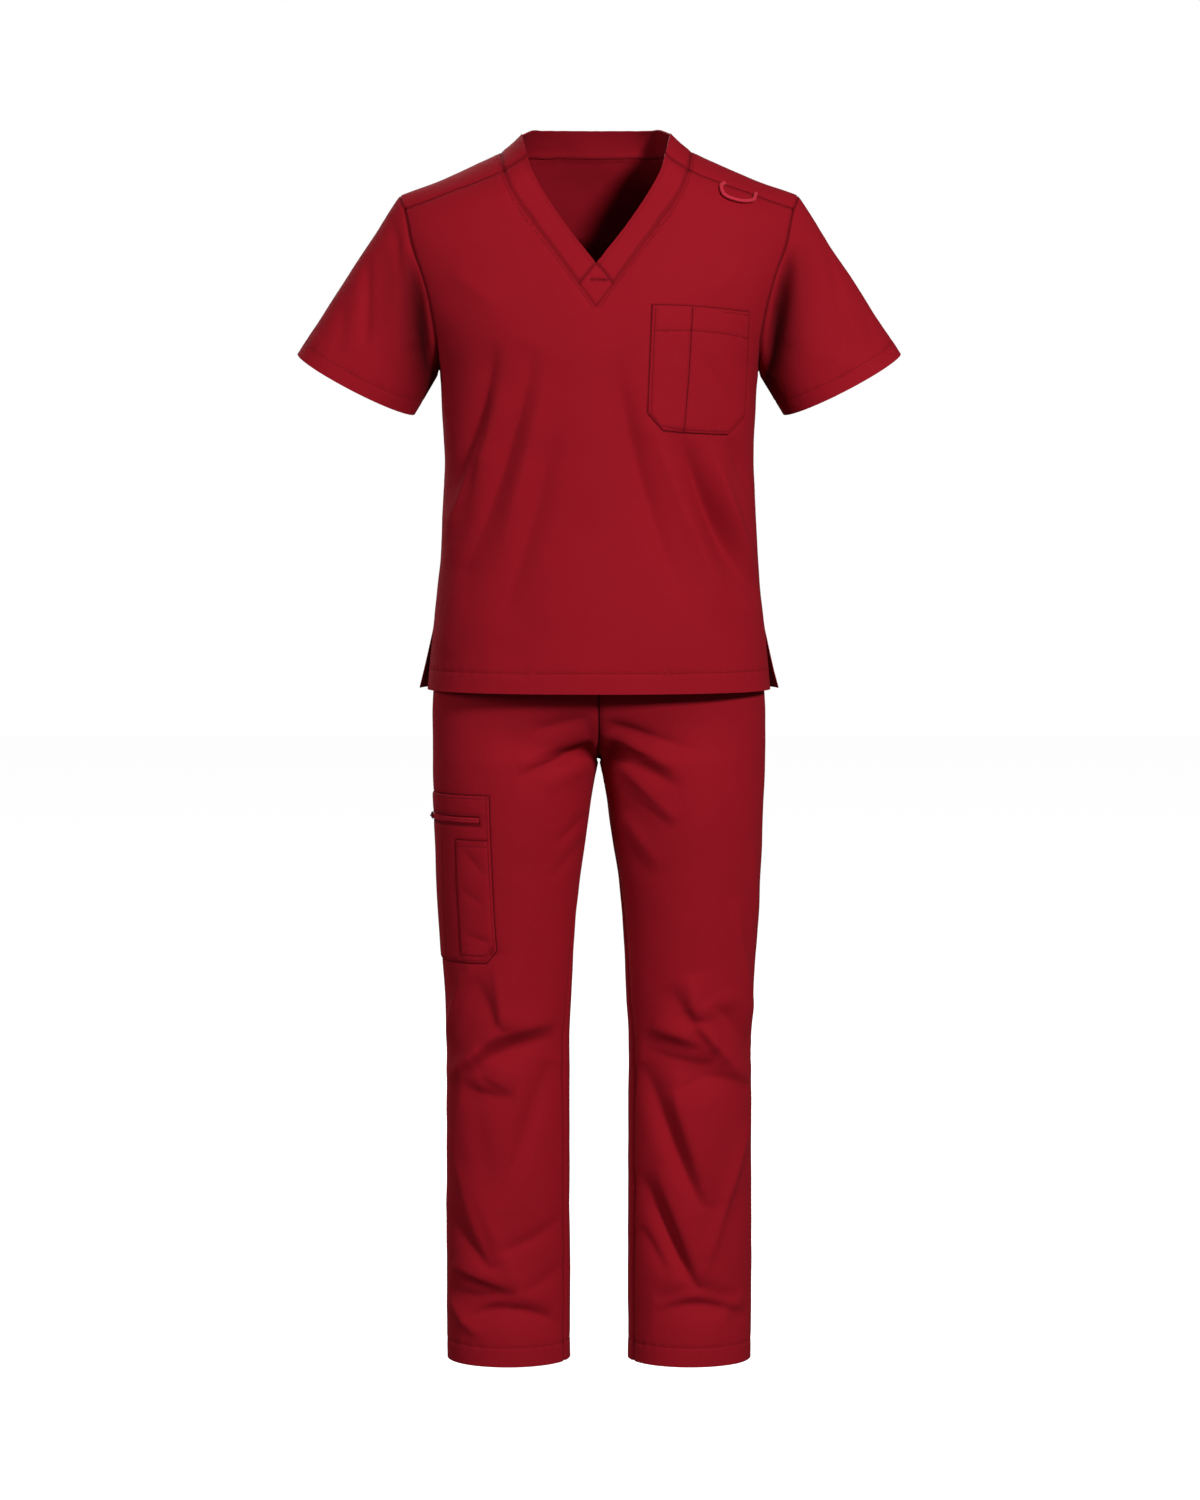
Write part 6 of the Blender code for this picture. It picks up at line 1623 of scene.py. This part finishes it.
# ---------------------------------------------------------------- the panels
top = Garment()
build_top(top)
top.weld()
body_part = top.on([name for name in TOP_PIECES if name not in SLEEVES])
at_seam = tree_of(top.skin[body_part > 0])
from_seam = np.array([at_seam.find(p)[2] for p in top.skin])
sleeve_part = top.on(SLEEVES) * np.clip(from_seam / SEAM_FADE, 0, 1)
x, y, z = top.skin.T
on_sleeves = ((fold_height(np.abs(x), z, SLEEVE_FOLDS) * FOLD_SHARE
               + crease_height(x, z, SLEEVE_CREASES) * CREASE_SHARE)
              * np.clip(0.7 - y / SLEEVE_FRONT_FADE, 0, 1))
on_sleeves += (crease_height(np.abs(x), z, SLEEVE_BACK_CREASES)
               * np.clip(y / SLEEVE_BACK_FADE, 0, 1))
# painted shade in the tucks of the sleeves by the armpits
tuck_painted_shade = np.clip(crease_height(x, z, SLEEVE_TUCKS) / MM, 0, 1) * sleeve_part
top.lift(fold(top, TOP_TABLE) * body_part + on_sleeves * sleeve_part)
top.dress(3.1)
top.painted_shade = np.maximum(top.painted_shade, tuck_painted_shade)

legs = Garment()
build_leg(legs, -1)
build_leg(legs, 1)
build_waistband(legs)
legs.weld()
legs.relax(CROTCH_Z, CROTCH_EASE, 14)
legs.lift(fold(legs, LEG_TABLE))
legs.dress(7.7)

for garment, names in ((top, TOP_PIECES), (legs, LEG_PIECES)):
    for name in names:
        wall = BAND_WALL if name.startswith("neck") else SHEET_WALL
        place_piece(cloth_piece(garment, name, "cloth_" + name, -wall, 0.0), SCRUB,
                    name)

# ---------------------------------------------------------------- the pockets
outline = [tuple(body_flat(px, pz, False))
           for px, pz in closed_line(CHEST_POCKET, PATCH_FINE)[:-1]]
chest = build_patch("pocket_chest", "chest_pocket", outline, [chest_line(CHEST_POCKET[:9])],
                    [(chest_line(CHEST_BAND), 0.3), (chest_line(CHEST_SLOT), 0.9)], at_body,
                    TOP_TABLE, PATCH_LIFT, 1.3)
pleat = line_through([(u, v - CROTCH_Z) for u, v in (PLEAT_TOP, PLEAT_LOW)])
# painted shadow along the pen pocket's top and back edges, on the cargo pocket
pen_edge_shadow = inset(corner_line(PEN, 3, 5), closed_line(PEN), -0.8 * MM)
window = closed_line(zip_rectangle(0.0))[:-1]
cargo = build_patch("pocket_cargo", "cargo_pocket", closed_line(CARGO, PATCH_FINE)[:-1],
                    [corner_line(CARGO, 0, 5), corner_line(CARGO, 5, 6)],
                    [(pleat, 0.35), (closed_line(zip_rectangle(ZIP_STITCH)), 0.25),
                     (pen_edge_shadow, 1.0)], at_right_leg, LEG_TABLE, PATCH_LIFT, 5.2, window)
pen_hem = line_through([(-reach, PEN_TOP - CROTCH_Z - PEN_HEM)
                        for reach in (PEN_FRONT, PEN_BACK)])
pen = build_patch("pocket_pen", "cargo_pen_pocket", closed_line(PEN, PATCH_FINE)[:-1],
                  [corner_line(PEN, 0, 4)], [(pen_hem, 0.0)], at_right_leg, LEG_TABLE,
                  PEN_LIFT, 9.4, threads=False)


# ---------------------------------------------------------------- the zip
def along_zip(flats, up):
    """Places on the settled leg at a height above the zip's middle, and outward there."""
    return legs.settled(at_right_leg([(flat, ZIP_Z - CROTCH_Z + up) for flat in flats]))


def zip_teeth(name):
    """Two rows of interlocking coil turns, each a short bead with pointed ends."""
    flats = np.arange(-ZIP_FRONT + 0.8 * MM, ZIP_BACK - 0.6 * MM, COIL_PITCH)
    low, _ = along_zip(flats, -3 * MM)
    high, _ = along_zip(flats, 3 * MM)
    middle, out = along_zip(flats, 0.0)
    up = high - low
    up /= np.linalg.norm(up, axis=1)[:, None]
    verts = []
    tris = []
    for spot, o, u in zip(middle, out, up):
        way = np.cross(u, o)
        for side in (1, -1):
            centre = spot + u * side * TURN_SET + o * TURN_LIFT + way * COIL_PITCH / 4 * side
            first = len(verts)
            for i, wide in ((-1, 0.6), (0, 1.0), (1, 0.6)):
                for j in range(6):
                    turn = 2 * math.pi * j / 6
                    verts.append(centre + u * i * TURN_HALF
                                 + wide * TURN_WIDE * math.cos(turn) * way
                                 + wide * TURN_THICK * math.sin(turn) * o)
            for j in range(12):
                a = first + j
                b = first + j // 6 * 6 + (j + 1) % 6
                tris += [(a, b, b + 6), (a, b + 6, a + 6)]
            for j in range(1, 5):
                tris += [(first, first + j + 1, first + j),
                         (first + 12, first + 12 + j, first + 12 + j + 1)]
    return plain_mesh(name, verts, tris)


# the zip's tapes, with shade painted round the window's edge on them
build_patch("zip_tapes", "zip_tape", closed_line(zip_rectangle(2 * MM), PATCH_FINE)[:-1], [],
            [(closed_line(zip_rectangle(0.0)), 1.0)], at_right_leg, LEG_TABLE,
            TAPE_LIFT, 2.2)
place_piece(zip_teeth("zip_coil_teeth"), COIL)


# ---------------------------------------------------------------- the badge loop
def cord(name, centre, outward):
    """A round cord along its centre line, with the slight swell of its twist."""
    way = np.gradient(centre, axis=0)
    verts = []
    for k, (spot, ahead, out) in enumerate(zip(centre, way, outward)):
        side = np.cross(ahead, out)
        side /= np.linalg.norm(side)
        up = np.cross(side, ahead / np.linalg.norm(ahead))
        for j in range(LOOP_SIDES):
            turn = 2 * math.pi * j / LOOP_SIDES
            reach = LOOP_CORD / 2 * (1 + 0.035 * math.sin(2 * turn + k * 1.9))
            verts.append(spot + reach * (math.cos(turn) * side + math.sin(turn) * up))
    tris = grid_faces(len(centre), LOOP_SIDES, flip=True, ring=True).tolist()
    last = (len(centre) - 1) * LOOP_SIDES
    for j in range(1, LOOP_SIDES - 1):
        tris += [(j, j + 1, 0), (last + j + 1, last + j, last)]
    return plain_mesh(name, verts, tris)


rows = np.array(BADGE_LOOP)
seen = on_curve(rows, np.linspace(0, run_of(rows)[-1], LOOP_STOPS))
on_cloth, outward = top.settled(at_body(body_flat(*seen.T, False)))
rise = LOOP_CORD / 2 + 0.3 * MM + LOOP_LIFT * np.sin(np.linspace(0, math.pi, LOOP_STOPS))
place_piece(cord("loop_badge", on_cloth + outward * rise[:, None], outward), CORD,
            "badge_loop")

# ---------------------------------------------------------------- sewing thread
place_piece(stitches("stitching_set", [top, legs], THREAD_RISE), THREAD)
for patch, name in ((chest, "stitching_chest"), (cargo, "stitching_cargo"),
                    (pen, "stitching_pen")):
    rise = float(np.median(patch.rise)) + PATCH_PROUD + THREAD_RISE
    place_piece(stitches(name, [patch], rise), THREAD)

for name in ("zip_slider", "zip_pull"):
    metal = bpy.data.objects.get(name)
    metal.data.materials.clear()
    metal.data.materials.append(ENAMEL)


# ---------------------------------------------------------------- camera, floor and light
def stand(name, data, place, target):
    """A camera or lamp at a place, turned towards its target."""
    thing = bpy.data.objects.new(name, data)
    scene.collection.objects.link(thing)
    thing.location = place
    thing.rotation_mode = "QUATERNION"
    thing.rotation_quaternion = (Vector(target) - Vector(place)).to_track_quat("-Z", "Y")
    return thing


def soft_light(name, place, size, power):
    lamp = bpy.data.lights.new(name, "AREA")
    lamp.shape = "DISK"
    lamp.size = size
    lamp.energy = power
    stand(name, lamp, place, LIT_MIDDLE)


scene = bpy.context.scene
scene.view_settings.view_transform = "Standard"
scene.view_settings.look = "None"
lens = bpy.data.cameras.new("camera")
lens.lens = LENS_MM
lens.sensor_width = SENSOR_MM
scene.camera = stand("camera", lens, CAMERA_PLACE, CAMERA_TARGET)

mesh = bpy.data.meshes.new("floor")
corners = [(x * FLOOR_HALF, y * FLOOR_HALF, FLOOR_Z - ORIGIN_Z)
           for x, y in ((-1, -1), (1, -1), (1, 1), (-1, 1))]
mesh.from_pydata(corners, [], [(0, 1, 2, 3)])
floor = bpy.data.objects.new("floor", mesh)
scene.collection.objects.link(floor)
pale = bpy.data.materials.new("floor_pale")
set_inputs(shader_of(pale), Base_Color=(0.80, 0.80, 0.80, 1), Roughness=0.9,
           Specular_IOR_Level=0.0, Emission_Color=(1, 1, 1, 1), Emission_Strength=0.90)
mesh.materials.append(pale)
floor.visible_diffuse = False
floor.visible_glossy = False

world = bpy.data.worlds.new("studio")
world.use_nodes = True
tree = world.node_tree
tree.nodes.clear()
ray = node(tree, "ShaderNodeLightPath").outputs["Is Camera Ray"]
lit, seen = (node(tree, "ShaderNodeBackground", {"Color": (1, 1, 1, 1), "Strength": strength})
             for strength in (SKY_LIGHT, 1.0))
mixed = node(tree, "ShaderNodeMixShader", {0: ray, 1: lit.outputs[0], 2: seen.outputs[0]})
node(tree, "ShaderNodeOutputWorld", {0: mixed.outputs[0]})
scene.world = world

soft_light("key", (2.6, -4.6, 1.8), 1.0, 250)
soft_light("fill", (-4.4, -2.6, 1.0), 2.0, 68)
soft_light("rear", (-1.5, 3.4, 1.6), 2.5, 90)
